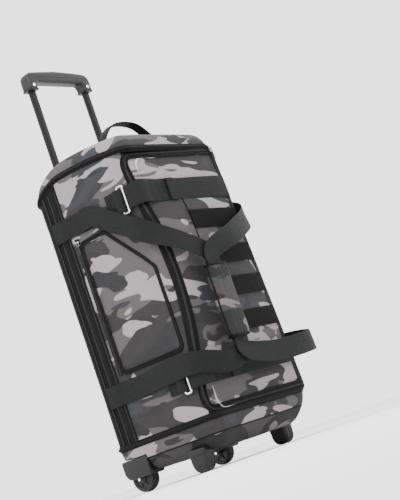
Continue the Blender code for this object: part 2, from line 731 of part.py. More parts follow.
def grip_screw(name, place):
    """A button-headed screw, given by radius and depth from the grip's front."""
    head = [(SCREW_HEAD - 0.0006, -0.0004), (SCREW_HEAD, 0.0004), (SCREW_HEAD, 0.0018)]
    shank = [(SCREW_SHANK, 0.0018), (SCREW_SHANK, SCREW_TIP)]
    piece(f"grip_screw_{name}", turned(head + shank, "Y", place, 16), "metal")


def grip_upper(seam):
    """The upper shell: its top is gently arched, with round ends."""
    half = GRIP_WIDTH / 2
    end = half - GRIP_CORNER
    shoulder = GRIP_TOP - GRIP_ARCH
    low = shoulder - GRIP_CORNER + SEAT_GAP
    crown = [(x, GRIP_TOP - GRIP_ARCH * (x / half) ** 2) for x in stretch(end, -end, 8)]
    right = arc((end, low), GRIP_CORNER, 0, 68, 3)
    left = arc((-end, low), GRIP_CORNER, 112, 180, 3)
    outline = [(-half, seam), (half, seam), *right, *crown, *left]
    upper = piece("grip_upper_shell", prism(outline, "Y", *middle(TROLLEY_Y, GRIP_DEPTH)), "plastic")
    bevel(upper, 0.0035, 2)
    width, depth = GRIP_CAVITY
    cut(upper, box(middle(0, width), middle(TROLLEY_Y, depth), (seam - 0.002, GRIP_ROOF)), "cavity")
    hole = [size + 2 * SEAT_GAP for size in (BUTTON_CAP, BUTTON_BAR[1])]
    through = (BUTTON_BAR_TOP, GRIP_TOP + GRIP_CORNER)
    cut(upper, box(middle(0, hole[0]), middle(TROLLEY_Y, hole[1]), through), "button_hole")


def grip_lower(seam):
    """The lower shell: a bar with a leg down over each tube."""
    half = GRIP_WIDTH / 2
    outline = [
        (-half, seam),
        (-half, GRIP_LEG_LOW),
        (-GRIP_LEG_IN, GRIP_LEG_LOW),
        (-GRIP_SHOULDER, GRIP_UNDERSIDE),
        (GRIP_SHOULDER, GRIP_UNDERSIDE),
        (GRIP_LEG_IN, GRIP_LEG_LOW),
        (half, GRIP_LEG_LOW),
        (half, seam),
    ]
    lower = piece("grip_lower_shell", prism(outline, "Y", *middle(TROLLEY_Y, GRIP_DEPTH)), "plastic")
    bevel(lower, 0.003, 2)
    width, depth = GRIP_CAVITY
    cut(lower, box(middle(0, width), middle(TROLLEY_Y, depth), (GRIP_FLOOR, seam + 0.002)), "cavity")
    for name, sign in SIDES:
        x = sign * TUBE_SPACING / 2
        width, depth = [side + 0.0006 for side in INNER_TUBE]
        reach = (GRIP_LEG_LOW - GRIP_CORNER, GRIP_FLOOR + 0.0015)
        cut(lower, box(middle(x, width), middle(TROLLEY_Y, depth), reach), f"{name}_socket")
        place = (x, TROLLEY_Y - GRIP_DEPTH / 2, SCREW_HEIGHT)
        head, shank = SCREW_HEAD + GAP, SCREW_SHANK + GAP
        profile = [(head, -0.002), (head, 0.0022), (shank, 0.0023), (shank, 0.0100)]
        cut(lower, turned(profile, "Y", place, 16), f"{name}_screw_seat")
        grip_screw(name, place)


def grip_button():
    """The release button, on a bar that reaches across to both push rods."""
    bar, depth = BUTTON_BAR[0] / 2, BUTTON_BAR[1]
    cap, top = BUTTON_CAP / 2, GRIP_TOP + BUTTON_PROUD
    outline = [
        (-bar, BUTTON_LOW),
        (bar, BUTTON_LOW),
        (bar, BUTTON_BAR_TOP),
        (cap, BUTTON_BAR_TOP),
        (cap, top),
        (-cap, top),
        (-cap, BUTTON_BAR_TOP),
        (-bar, BUTTON_BAR_TOP),
    ]
    button = piece("grip_button", prism(outline, "Y", *middle(TROLLEY_Y, depth)), "plastic")
    bevel(button, 0.0008)


def grip():
    grip_upper(GRIP_SPLIT + GAP / 2)
    grip_lower(GRIP_SPLIT - GAP / 2)
    grip_button()


# ---- wheels and feet --------------------------------------------------------------------------------
def running_gear(name, sign):
    centre = (sign * WHEEL_X, WHEEL_Y, WHEEL_RADIUS)
    half = WHEEL_WIDTH / 2
    dish = half - TYRE_EDGE
    hub = half + 2 * SEAT_GAP
    profile = [
        (AXLE_RADIUS + GAP, -hub),
        (WHEEL_HUB, -hub),
        (WHEEL_HUB + SEAT_GAP, -dish),
        (WHEEL_DISH, -dish),
        (WHEEL_DISH + TYRE_EDGE * 0.5, -half),
        (WHEEL_RADIUS - TYRE_EDGE, -half),
        (WHEEL_RADIUS, -dish),
    ]
    profile += [(r, -x) for r, x in profile[::-1]]
    piece(f"wheel_{name}", loft(turned_rings(profile, "X", centre, 24), cyclic=True), "rubber", centre)

    axle_end = AXLE_LENGTH / 2
    axle = turned([(AXLE_RADIUS, -axle_end), (AXLE_RADIUS, axle_end)], "X", centre, 16)
    piece(f"axle_{name}", axle, "metal")

    side = rectangle(HOUSING_FRONT, HALF_D - 2 * SEAT_GAP, END_BOTTOM - 0.006, HOUSING_TOP)
    walls = mirrored(sign, HOUSING_INNER, HALF_W - SEAT_GAP)
    shell = prism(rounded(side, HOUSING_CORNER), "X", *walls)
    housing = piece(f"wheel_housing_{name}", shell, "plastic")
    well = box(middle(sign * WHEEL_X, WELL[0]), middle(WHEEL_Y, WELL[1]), (0.0, WELL_TOP))
    cut(housing, well, "well")
    fit = AXLE_RADIUS + 0.0003
    axle_bore = turned([(fit, -AXLE_LENGTH), (fit, AXLE_LENGTH)], "X", centre, 16)
    cut(housing, axle_bore, "axle_bore")


def front_foot(name, sign):
    """A tapered moulded foot under a mounting plate."""
    width, depth = FOOT_PLATE
    rings = []
    for z, share in ((0.0, 0.65), (0.004, 0.75), (0.036, 0.89), (0.0365, 1.0), (FOOT_HEIGHT, 1.0)):
        side = rectangle(*middle(sign * FOOT_X, width * share), *middle(FOOT_Y, depth * share))
        rings.append([Vector((*p, z)) for p in rounded(side, FOOT_CORNER)])
    piece(f"front_foot_{name}", loft(rings), "plastic")


def build():
    clear_scene()
    frame = bpy.data.objects.new("bag_frame", None)
    frame.location = FRAME_SHIFT
    bpy.context.scene.collection.objects.link(frame)

    back_panel()
    front_rim()
    top_end()
    wheel_end()
    boards()
    for name, sign in SIDES:
        side_panel(name, sign)
        pocket_lining(name, sign)
        pocket_flap(name, sign)
        running_gear(name, sign)
        front_foot(name, sign)
    lid_panel()
    lid_trim()
    lid_rows()
    for name, centre in STRAP_HEIGHTS.items():
        compression_strap(name, centre)
    zips()
    carry_handles()
    grab_handle()
    trolley_tubes()
    collar()
    grip()


build()
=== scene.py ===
import json
import math

import bmesh
import bpy
from mathutils import Matrix, Vector, noise


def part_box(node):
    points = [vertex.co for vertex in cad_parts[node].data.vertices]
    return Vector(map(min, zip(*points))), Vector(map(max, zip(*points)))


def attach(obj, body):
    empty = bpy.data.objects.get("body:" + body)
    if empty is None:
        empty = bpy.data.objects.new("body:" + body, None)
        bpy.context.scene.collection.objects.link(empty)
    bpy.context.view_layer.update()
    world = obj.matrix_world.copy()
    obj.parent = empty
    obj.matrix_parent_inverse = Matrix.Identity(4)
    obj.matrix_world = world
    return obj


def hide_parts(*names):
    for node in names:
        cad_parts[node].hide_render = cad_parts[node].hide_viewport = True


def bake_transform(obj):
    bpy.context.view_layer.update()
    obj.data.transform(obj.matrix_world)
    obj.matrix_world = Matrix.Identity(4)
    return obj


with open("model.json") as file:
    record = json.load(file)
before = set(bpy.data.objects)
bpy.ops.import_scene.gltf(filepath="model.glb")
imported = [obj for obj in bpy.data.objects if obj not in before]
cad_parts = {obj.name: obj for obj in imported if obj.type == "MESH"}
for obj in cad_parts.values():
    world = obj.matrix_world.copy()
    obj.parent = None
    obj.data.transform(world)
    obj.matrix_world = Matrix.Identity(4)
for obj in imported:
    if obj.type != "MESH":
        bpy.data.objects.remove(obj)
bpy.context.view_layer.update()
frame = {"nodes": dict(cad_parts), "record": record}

# ---- the bag's own axes, worked out from the frame --------------------------------------------------
# X runs across the bag, -Y faces the lid, Z is up. Points below are measured from the bag's middle line.
BACK_LOW, BACK_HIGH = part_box("back_panel")
RIM_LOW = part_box("front_rim")[0]
HALF_W = (BACK_HIGH.x - BACK_LOW.x) / 2
HALF_D = (BACK_HIGH.y - RIM_LOW.y) / 2
MIDDLE = Vector(((BACK_LOW.x + BACK_HIGH.x) / 2, (BACK_HIGH.y + RIM_LOW.y) / 2, 0.0))
SIDES = (("left", -1), ("right", 1))
UP = Vector((0, 0, 1))
FRONT = Vector((0, -1, 0))

SEAM_LOW, SEAM_HIGH = 0.100, 0.684
SEAM_RISE, SEAM_CREST, SEAM_DROP = 0.016, 0.045, 0.038
END_TOP = 0.037
END_BOTTOM = -0.062
END_ROUND = 0.034
END_CORNER = 0.024
BASE_JOIN = 0.36  # share of the wheel end's roundness in full camouflage; below it the half-bright copy is painted shade under the bag
BACK_WRAP = 0.075
BACK_CORNER = 0.030
CORNERS = {-1: 0.020, 1: 0.008}  # radius of the front corners
SIDE_SWELL = 0.004
EDGE_SWELL = 0.011
FLARE = 0.019  # the filled bag leans out at its lower right front and in at its upper right front

POCKET_HINGE, POCKET_FREE = 0.050, -0.128
POCKET_LOW, POCKET_HIGH = 0.246, 0.545
POCKET_CUT = (0.075, 0.116)
ZIP_LINE = 0.0575

ZIP_TOP, ZIP_BOTTOM = 0.672, 0.112
ZIP_BOW = 0.022
ZIP_CORNER = 0.028
LID_RIGHT = HALF_W - 0.0045
LID_EDGE = -0.1465
LID_CROWN = 0.0105
TAPE = 0.016

STRAP = 0.050
WEBBING = 0.046
WEB = 0.0022
STRAPS = {"upper": 0.583, "lower": 0.190}
HANDLES = {"upper": 0.585, "lower": 0.2105}
ROWS = (0.510, 0.4265, 0.353, 0.276)
ROW_RUN = (-0.038, 0.146)
RING_OUT, RING_Y = 0.0065, -0.104

TROLLEY_Y = 0.108
TUBE_X = 0.090
GRAB_Y = -0.035
WHEEL_AT = Vector((0.137, 0.107, 0.030))
WRAP_AT = Vector((-0.063, -0.194, 0.318))

# the camera's place and what it looks at, from the bag's middle line
CAMERA_PLACE = Vector((-2.2032, -1.7385, 0.0184))
CAMERA_AIM = Vector((-0.0116, -0.1337, 0.4473))
CAMERA_LENS = 92.3
CAMERA_ROLL = math.radians(19.3)
LAMP_AIM = Vector((0, 0, 0.4))


# ---- materials --------------------------------------------------------------------------------------
class Finish:
    """A short way to write a node material."""

    def __init__(self, name, roughness, metallic=0.0, sheen=0.0, specular=0.25):
        self.material = bpy.data.materials.new(name)
        self.material.use_nodes = True
        self.tree = self.material.node_tree
        self.shader = self.tree.nodes["Principled BSDF"]
        self.shader.inputs["Roughness"].default_value = roughness
        self.shader.inputs["Metallic"].default_value = metallic
        self.shader.inputs["Sheen Weight"].default_value = sheen
        self.shader.inputs["Specular IOR Level"].default_value = specular
        self.place = self.tree.nodes.new("ShaderNodeTexCoord").outputs["Object"]

    def put(self, value, socket):
        if isinstance(value, bpy.types.NodeSocket):
            self.tree.links.new(value, socket)
        elif isinstance(value, tuple):
            socket.default_value = (*value, 1.0)
        else:
            socket.default_value = value

    def sum(self, operation, *values, clamp=False):
        node = self.tree.nodes.new("ShaderNodeMath")
        node.operation = operation
        node.use_clamp = clamp
        for value, socket in zip(values, node.inputs):
            self.put(value, socket)
        return node.outputs[0]

    def noise(self, scale, detail=2.0, stretch=(1, 1, 1), shift=0.0, distortion=0.0):
        mapping = self.tree.nodes.new("ShaderNodeMapping")
        mapping.inputs["Scale"].default_value = stretch
        mapping.inputs["Location"].default_value = (shift, shift * 0.7, -shift)
        self.tree.links.new(self.place, mapping.inputs["Vector"])
        node = self.tree.nodes.new("ShaderNodeTexNoise")
        node.inputs["Scale"].default_value = scale
        node.inputs["Detail"].default_value = detail
        node.inputs["Distortion"].default_value = distortion
        self.tree.links.new(mapping.outputs[0], node.inputs["Vector"])
        return node.outputs["Fac"]

    def mix(self, share, first, second):
        node = self.tree.nodes.new("ShaderNodeMix")
        node.data_type = "RGBA"
        self.put(share, node.inputs["Factor"])
        self.put(first, node.inputs[6])
        self.put(second, node.inputs[7])
        return node.outputs[2]

    def above(self, value, edge, softness=0.006):
        """0 below an edge and 1 above it, with a narrow blend between."""
        return self.sum("MULTIPLY_ADD", self.sum("SUBTRACT", value, edge), 1 / softness, 0.5, clamp=True)

    def weave(self, pitch):
        """The height of crossing threads, which shows on a face that lies along any two axes."""
        split = self.tree.nodes.new("ShaderNodeSeparateXYZ")
        self.tree.links.new(self.place, split.inputs[0])
        waves = [self.sum("SINE", self.sum("MULTIPLY", axis, math.tau / pitch)) for axis in split.outputs]
        return self.sum("ADD", self.sum("ADD", waves[0], waves[1]), waves[2])

    def bump(self, height, distance, under=None):
        node = self.tree.nodes.new("ShaderNodeBump")
        node.inputs["Distance"].default_value = distance
        self.put(height, node.inputs["Height"])
        if under is not None:
            self.tree.links.new(under, node.inputs["Normal"])
        return node.outputs[0]

    def done(self, colour, normal, roughness=None):
        self.put(colour, self.shader.inputs["Base Color"])
        self.tree.links.new(normal, self.shader.inputs["Normal"])
        if roughness is not None:
            self.tree.links.new(roughness, self.shader.inputs["Roughness"])
        return self.material


def shaded(colour, share):
    return tuple(min(c * share, 1.0) for c in colour)


def camouflage(name, shade=1.0, shift=0.0):
    """Printed woven polyester: large flat patches in greys, with crisp and slightly ragged edges."""
    f = Finish(name, 0.75)
    light = (0.235, 0.200, 0.209)
    patches = (
        ((0.058, 0.049, 0.052), 7.6, 0.440, 0.0),
        ((0.0105, 0.0090, 0.0096), 7.2, 0.470, 3.7),
        (light, 10.0, 0.595, 8.1),
        ((0.012, 0.0155, 0.0215), 8.5, 0.600, 12.9),
        ((0.006, 0.006, 0.007), 9.5, 0.610, 17.3),
    )
    colour = shaded(light, shade)
    for tint, scale, edge, offset in patches:
        field = f.noise(scale, 1.6, (0.62, 0.62, 1.55), shift + offset, 0.9)
        colour = f.mix(f.above(field, edge), colour, shaded(tint, shade))
    worn = f.noise(60.0, 4.0)
    colour = f.mix(f.sum("MULTIPLY", worn, 0.12), colour, shaded((0.14, 0.13, 0.135), shade))
    creases = f.bump(f.noise(18.0, 4.0, (1, 1, 0.6)), 0.004)
    return f.done(colour, f.bump(f.weave(0.0011), 0.0001, creases), f.sum("MULTIPLY_ADD", worn, 0.25, 0.62))


def plain_weave(name, colour, roughness=0.72, pitch=0.0012):
    f = Finish(name, roughness, specular=0.10)
    mixed = f.mix(f.sum("MULTIPLY", f.noise(40.0, 5.0), 0.55), colour, shaded(colour, 2.2))
    return f.done(mixed, f.bump(f.weave(pitch), 0.00012, f.bump(f.noise(22.0, 3.0), 0.0025)))


def ribbed(name, colour, roughness=0.6):
    """Webbing: fine ribs across its length and rows of yarn along it, from the strap's own measure."""
    f = Finish(name, roughness, specular=0.12)
    split = f.tree.nodes.new("ShaderNodeSeparateXYZ")
    f.tree.links.new(f.tree.nodes.new("ShaderNodeUVMap").outputs[0], split.inputs[0])
    ribs = f.sum("SINE", f.sum("MULTIPLY", split.outputs[1], math.tau / 0.0017))
    rows = f.sum("SINE", f.sum("MULTIPLY", split.outputs[0], math.tau / 0.0046))
    # The raised yarn rows are painted lighter, a painted highlight, mixed with a random lighter tone.
    lit = f.sum("MULTIPLY_ADD", rows, 0.14, f.sum("MULTIPLY", f.noise(60.0, 4.0), 0.5))
    return f.done(f.mix(lit, colour, shaded(colour, 2.3)), f.bump(f.sum("ADD", ribs, rows), 0.00016))


def moulded(name, colour, roughness, metallic=0.0, grain=0.00005, scale=900.0):
    f = Finish(name, roughness, metallic)
    wear = f.noise(26.0, 5.0)
    mixed = f.mix(f.sum("MULTIPLY", wear, 0.4), colour, shaded(colour, 1.6))
    rough = f.sum("MULTIPLY_ADD", wear, 0.2, roughness - 0.1)
    return f.done(mixed, f.bump(f.noise(scale, 2.0), grain), rough)


def silver_lining():
    f = Finish("lining", 0.45, sheen=0.2)
    soft = f.noise(14.0, 4.0, distortion=0.4)
    colour = f.mix(soft, (0.36, 0.37, 0.42), (0.60, 0.61, 0.66))
    return f.done(colour, f.bump(f.weave(0.0008), 0.00006, f.bump(soft, 0.006)))


MATERIALS = {
    "camouflage": camouflage("camouflage"),
    # A half-bright copy of the camouflage, used on the wrap and, as painted shade under the bag, on the wheel
    # end's base.
    "camouflage_dark": camouflage("camouflage_dark", 0.5, 5.0),
    "black_fabric": plain_weave("black_fabric", (0.0030, 0.0030, 0.0033)),
    "binding": plain_weave("binding", (0.0024, 0.0024, 0.0025), 0.62, 0.0015),
    "loop_tape": plain_weave("loop_tape", (0.0026, 0.0026, 0.0024), 0.9, 0.0021),
    "webbing": ribbed("webbing", (0.0036, 0.0040, 0.0038)),
    "thread": plain_weave("thread", (0.022, 0.022, 0.023), 0.55, 0.0006),
    "lining": silver_lining(),
    "board": moulded("board", (0.06, 0.06, 0.06), 0.7),
    "tube": moulded("tube", (0.005, 0.005, 0.0055), 0.34, 0.4, 0.00002, 400.0),
    "plastic": moulded("plastic", (0.005, 0.005, 0.0056), 0.42),
    "grip": moulded("grip", (0.011, 0.011, 0.0125), 0.38),
    "coil": moulded("coil", (0.006, 0.006, 0.0065), 0.32),
    "metal": moulded("metal", (0.74, 0.74, 0.76), 0.20, 1.0, 0.00001),
    "rubber": moulded("rubber", (0.007, 0.007, 0.0075), 0.62, 0.0, 0.0002, 500.0),
}


def finish_cad_nodes():
    slots = {row["node"]: row["material_slot"] for row in frame["record"]["subparts"]}
    for name, node in frame["nodes"].items():
        node.data.materials.clear()
        node.data.materials.append(MATERIALS[slots[name]])


# ---- mesh tools -------------------------------------------------------------------------------------
def span(low, high, steps):
    return [low + (high - low) * i / steps for i in range(steps + 1)]


def ease(share):
    share = min(max(share, 0.0), 1.0)
    return share * share * (3 - 2 * share)


def from_middle(node):
    return [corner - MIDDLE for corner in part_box(node)]


def lean(point):
    """How far the filled bag's cloth stands aside at a point: its right front edge leans with height."""
    share = max(point.x, 0.0) / HALF_W * ease((0.03 - point.y) / 0.15) * ease((point.z - 0.040) / 0.055)
    return Vector((FLARE * (1 - 2 * height_share(point.z)) * share, 0, 0))


def add(name, mesh, finish, body, replaces=(), soft=True):
    """Puts a mesh, given from the bag's middle line, in the scene as a piece that rides on a body."""
    for vert in mesh.verts:
        vert.co += MIDDLE + lean(vert.co) if soft else MIDDLE
    bmesh.ops.recalc_face_normals(mesh, faces=mesh.faces)
    data = bpy.data.meshes.new(name)
    mesh.to_mesh(data)
    mesh.free()
    data.materials.append(MATERIALS[finish])
    data.shade_smooth()
    data.set_sharp_from_angle(angle=math.radians(40))
    made = bpy.data.objects.new(name, data)
    bpy.context.scene.collection.objects.link(made)
    if body is not None:
        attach(made, body)
    if replaces:
        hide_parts(*replaces)
    return made


def shape_with(piece, kind, **settings):
    """Runs a modifier on a piece and keeps the result as its mesh."""
    made = piece.modifiers.new("shape", kind)
    for key, value in settings.items():
        setattr(made, key, value)
    bpy.context.view_layer.update()
    shaped = bpy.data.meshes.new_from_object(piece.evaluated_get(bpy.context.evaluated_depsgraph_get()))
    piece.modifiers.clear()
    piece.data = shaped
    shaped.shade_smooth()
    shaped.set_sharp_from_angle(angle=math.radians(35))
    return piece


def bevelled(piece, width):
    limit = math.radians(50)
    return shape_with(piece, "BEVEL", width=width, segments=5, limit_method="ANGLE", angle_limit=limit)


def block(low, high):
    mesh = bmesh.new()
    bmesh.ops.create_cube(mesh, size=1.0)
    for vert in mesh.verts:
        vert.co = Vector([(a + b) / 2 + v * (b - a) for a, b, v in zip(low, high, vert.co)])
    return mesh


def carve(piece, boxes):
    """Cuts boxes, each given by its low and high corners from the bag's middle line, out of a piece."""
    for low, high in boxes:
        mesh = block(low + MIDDLE, high + MIDDLE)
        data = bpy.data.meshes.new("cutter")
        mesh.to_mesh(data)
        mesh.free()
        cutter = bpy.data.objects.new("cutter", data)
        bpy.context.scene.collection.objects.link(cutter)
        shape_with(piece, "BOOLEAN", operation="DIFFERENCE", object=cutter)
        bpy.data.objects.remove(cutter)
    return piece


def curve_through(points, samples=10):
    """A centripetal Catmull-Rom curve through the points."""
    points = [Vector(p) for p in points]
    padded = [2 * points[0] - points[1], *points, 2 * points[-1] - points[-2]]
    line = []
    for a, b, c, d in zip(padded, padded[1:], padded[2:], padded[3:]):
        knot_b = math.sqrt((b - a).length)
        knot_c = knot_b + math.sqrt((c - b).length)
        knot_d = knot_c + math.sqrt((d - c).length)
        for i in range(samples):
            across = i / samples
            t = knot_b + (knot_c - knot_b) * across
            from_a = a.lerp(b, t / knot_b).lerp(b.lerp(c, across), t / knot_c)
            to_d = c.lerp(d, (t - knot_c) / (knot_d - knot_c))
            towards = b.lerp(c, across).lerp(to_d, (t - knot_b) / (knot_d - knot_b))
            line.append(from_a.lerp(towards, across))
    return [*line, points[-1]]


def evenly(path, step):
    """The same path with points about a step apart."""
    lengths = [(b - a).length for a, b in zip(path, path[1:])]
    count = max(int(sum(lengths) / step), 2)
    made, i, passed = [], 0, 0.0
    for k in range(count + 1):
        wanted = sum(lengths) * k / count
        while i < len(lengths) - 1 and passed + lengths[i] < wanted:
            passed += lengths[i]
            i += 1
        made.append(path[i].lerp(path[i + 1], min((wanted - passed) / max(lengths[i], 1e-9), 1.0)))
    return made


def closed_evenly(path, step):
    return evenly([*path, path[0]], step)[:-1]


def directions(path, cyclic=False):
    last = len(path) - 1
    if cyclic:
        return [(path[(i + 1) % len(path)] - path[i - 1]).normalized() for i in range(len(path))]
    return [(path[min(i + 1, last)] - path[max(i - 1, 0)]).normalized() for i in range(len(path))]


def loft(rings, cyclic=False):
    mesh = bmesh.new()
    made = [[mesh.verts.new(p) for p in ring] for ring in rings]
    for first, second in zip(made, made[1:] + made[:1] if cyclic else made[1:]):
        for i in range(len(first)):
            mesh.faces.new((first[i - 1], first[i], second[i], second[i - 1]))
    if not cyclic:
        mesh.faces.new(made[0])
        mesh.faces.new(made[-1])
    return mesh


def surface(grid, closed_rows=False, filled=False):
    """An open surface through rows of points. Closed rows are rings, and the last one may be filled."""
    mesh = bmesh.new()
    rows = [[mesh.verts.new(p) for p in row] for row in grid]
    for first, second in zip(rows, rows[1:]):
        for i in range(0 if closed_rows else 1, len(first)):
            mesh.faces.new((first[i - 1], first[i], second[i], second[i - 1]))
    if filled:
        mesh.faces.new(rows[-1])
    return mesh


def thicken(mesh, thickness, outward):
    """Gives an open surface a thickness behind it; outward points away from its face."""
    bmesh.ops.recalc_face_normals(mesh, faces=mesh.faces)
    if sum(f.normal.dot(outward) * f.calc_area() for f in mesh.faces) < 0:
        bmesh.ops.reverse_faces(mesh, faces=mesh.faces)
    mesh.normal_update()
    faces = list(mesh.faces)
    edges = [e for e in mesh.edges if len(e.link_faces) == 1]
    behind = {v: mesh.verts.new(v.co - v.normal * thickness) for v in list(mesh.verts)}
    for face in faces:
        mesh.faces.new([behind[v] for v in reversed(face.verts)])
    for edge in edges:
        a, b = edge.verts
        mesh.faces.new((a, b, behind[b], behind[a]))
    return mesh


def cord(path, radius, cyclic=False, sides=10):
    """A round cord along a path, carried along it without twisting."""
    along = directions(path, cyclic)
    side = along[0].orthogonal().normalized()
    rings = []
    for point, way in zip(path, along):
        side = (side - way * side.dot(way)).normalized()
        up = way.cross(side)
        turns = [math.tau * i / sides for i in range(sides)]
        rings.append([point + (side * math.cos(a) + up * math.sin(a)) * radius for a in turns])
    return loft(rings, cyclic)


def band(path, across, width, thickness=WEB, cyclic=False):
    """A flat band with rounded edges, measured in metres across and along for its texture."""
    along = directions(path, cyclic)
    sides = across if isinstance(across, list) else [across] * len(path)
    half, edge = width / 2, thickness / 2
    top = [(-half, 0.0), (-half + edge * 0.6, edge * 0.8)]
    top += [(u, edge) for u in span(-half + edge * 1.6, half - edge * 1.6, 4)]
    top += [(half - edge * 0.6, edge * 0.8), (half, 0.0)]
    section = top + [(u, -v) for u, v in top[-2:0:-1]]
    rings, travelled, distance = [], [], 0.0
    for i, point in enumerate(path):
        side = (sides[i] - along[i] * sides[i].dot(along[i])).normalized()
        up = along[i].cross(side)
        rings.append([point + side * u + up * v for u, v in section])
        distance += (point - path[i - 1]).length if i else 0.0
        travelled.append(distance)
    mesh = loft(rings, cyclic)
    mesh.verts.index_update()
    layer = mesh.loops.layers.uv.new("UVMap")
    for face in mesh.faces:
        for loop in face.loops:
            ring, place = divmod(loop.vert.index, len(section))
            loop[layer].uv = (section[place][0], travelled[ring])
    return mesh


def join(meshes):
    """Several meshes as one."""
    whole = bmesh.new()
    for mesh in meshes:
        data = bpy.data.meshes.new("part")
        mesh.to_mesh(data)
        mesh.free()
        whole.from_mesh(data)
        bpy.data.meshes.remove(data)
    return whole


def stitches(lines, length=0.0034, gap=0.0019, radius=0.0004):
    """Rows of raised thread along paths."""
    mesh = bmesh.new()
    for line in lines:
        points = evenly(line, (length + gap) / 2)
        for here, ahead in zip(points[::2], points[1::2]):
            way = (ahead - here).normalized()
            side = way.orthogonal().normalized() * radius
            up = way.cross(side)
            tips = [mesh.verts.new(end) for end in (here, here + way * length)]
            belt = [mesh.verts.new(here + way * length / 2 + v) for v in (side, up, -side, -up)]
            for i in range(4):
                mesh.faces.new((tips[0], belt[i], belt[i - 1]))
                mesh.faces.new((tips[1], belt[i - 1], belt[i]))
    return mesh


def coil(path, outward, pitch=0.0024, reach=0.0021, high=0.0012):
    """The teeth of a closed zip, as small tapered blocks that interlock down its middle."""
    mesh = bmesh.new()
    points = evenly(path, pitch / 2)
    for k, (here, way) in enumerate(zip(points, directions(points))):
        side = way.cross(outward).normalized() * (1 if k % 2 else -1)
        corners = []
        for lift, size in ((0.0, 1.0), (high, 0.6)):
            for u, v in ((-1, -1), (1, -1), (1, 1), (-1, 1)):
                reached = side * reach * (0.45 + u * size) + way * v * pitch * 0.32 * size
                corners.append(mesh.verts.new(here + reached + outward * lift))
        mesh.faces.new(corners[:4])
        mesh.faces.new(corners[4:])
        for i in range(4):
            j = (i + 1) % 4
            mesh.faces.new((corners[i], corners[j], corners[j + 4], corners[i + 4]))
    return mesh


def box_stitch(corner, along, up):
    """A box with a cross in it, as sewn on webbing: from its corner, by its two edges."""
    a, b, c, d = corner, corner + along, corner + along + up, corner + up
    return [[a, b], [b, c], [c, d], [d, a], [a, c], [b, d]]


def rounded(points, radius, steps=6):
    """A closed outline with every corner turned into an arc."""
    outline = []
    for i, corner in enumerate(points):
        corner = Vector(corner)
        before = (Vector(points[i - 1]) - corner).normalized()
        after = (Vector(points[(i + 1) % len(points)]) - corner).normalized()
        half = before.angle(after) / 2
        centre = corner + (before + after).normalized() * radius / math.sin(half)
        start = corner + before * radius / math.tan(half) - centre
        end = corner + after * radius / math.tan(half) - centre
        outline += [centre + start.lerp(end, k / steps).normalized() * radius for k in range(steps + 1)]
    return outline


def rectangle(u, v, radius, steps=6):
    """A rounded rectangle about the origin, by its half sizes."""
    return rounded([(-u, -v), (u, -v), (u, v), (-u, v)], min(radius, u * 0.9, v * 0.9), steps)


def oval(u, v, power, count=72):
    """A squared oval about the origin."""

    def squared(share):
        return math.copysign(abs(share) ** power, share)

    turns = [math.tau * i / count for i in range(count)]
    return [Vector((u * squared(math.cos(a)), v * squared(math.sin(a)))) for a in turns]


def arc(centre, radius, start, end, steps):
    angles = [math.radians(a) for a in span(start, end, steps)]
    return [(centre[0] + radius * math.cos(a), centre[1] + radius * math.sin(a)) for a in angles]


# ---- the shape of the filled bag --------------------------------------------------------------------
def seam_height(y):
    """The top end's seam: it rises from the lid to a crest and falls towards the back."""
    if y < SEAM_CREST:
        return SEAM_HIGH + SEAM_RISE * (1 - ((y - SEAM_CREST) / (HALF_D + SEAM_CREST)) ** 2)
    return SEAM_HIGH + SEAM_RISE - SEAM_DROP * ((y - SEAM_CREST) / (HALF_D - SEAM_CREST)) ** 2


def height_share(z):
    return min(max((z - SEAM_LOW) / (SEAM_HIGH - SEAM_LOW), 0.0), 1.0)


def fullness(z):
    """How far the filling pushes the cloth out at a height: the seams and straps hold it in."""
    full = 1 - abs(2 * height_share(z) - 1) ** 3
    for centre in STRAPS.values():
        full -= 0.35 * math.exp(-(((z - centre) / 0.028) ** 2))
    return max(full, 0.0)


def crease(point, size=1.0):
    soft = noise.noise(point * 13.0 + Vector((3.1, 7.7, 1.3)))
    sharp = noise.noise(Vector((point.x * 30, point.y * 30 + point.z * 24, point.z * 19)))
    return size * (0.0020 * soft + 0.0010 * sharp)


def pucker(distance, along):
    """Small gathers beside a seam."""
    return -0.0007 * math.exp(-max(distance, 0.0) / 0.010) * (1 + math.cos(math.tau * along / 0.012))


def flat_run(sign):
    return BACK_WRAP + HALF_D - CORNERS[sign]


def turn_run(sign):
    return CORNERS[sign] * math.pi / 2


def skin(sign, s, z, lift=0.0, creased=True):
    """A point of the cloth: s runs from the rear seam, round the front corner and on to the lid."""
    flat, turn, radius = flat_run(sign), turn_run(sign), CORNERS[sign]
    angle = min(max((s - flat) / radius, 0.0), math.pi / 2)
    x = HALF_W - radius * (1 - math.cos(angle)) - max(s - flat - turn, 0.0)
    y = BACK_WRAP - s if s < flat else radius - HALF_D - radius * math.sin(angle)
    edge = EDGE_SWELL if sign < 0 else 0.002
    side = math.sin(math.pi * min(max(s / flat, 0.0), 1.0))
    push = lift + fullness(z) * (SIDE_SWELL * side + edge * ease((s - flat + 0.03) / (turn + 0.03)))
    if creased:
        room = min(max(s, 0.0), max(seam_height(y) - z, 0.0), max(z - SEAM_LOW, 0.0))
        push += crease(Vector((sign * x, y, z)), 0.5) * min(1.0, room / 0.02)
    return Vector((sign * (x + math.cos(angle) * push), y - math.sin(angle) * push, z))


def side_at(sign, y, z, lift=0.0):
    return skin(sign, BACK_WRAP - y, z, lift, creased=False)


def zip_reach(z):
    """How far round the left of the bag the lid's zip runs: the filling draws it in at the middle."""
    return flat_run(-1) + turn_run(-1) * 0.2 + ZIP_BOW * math.sin(math.pi * height_share(z)) ** 1.5


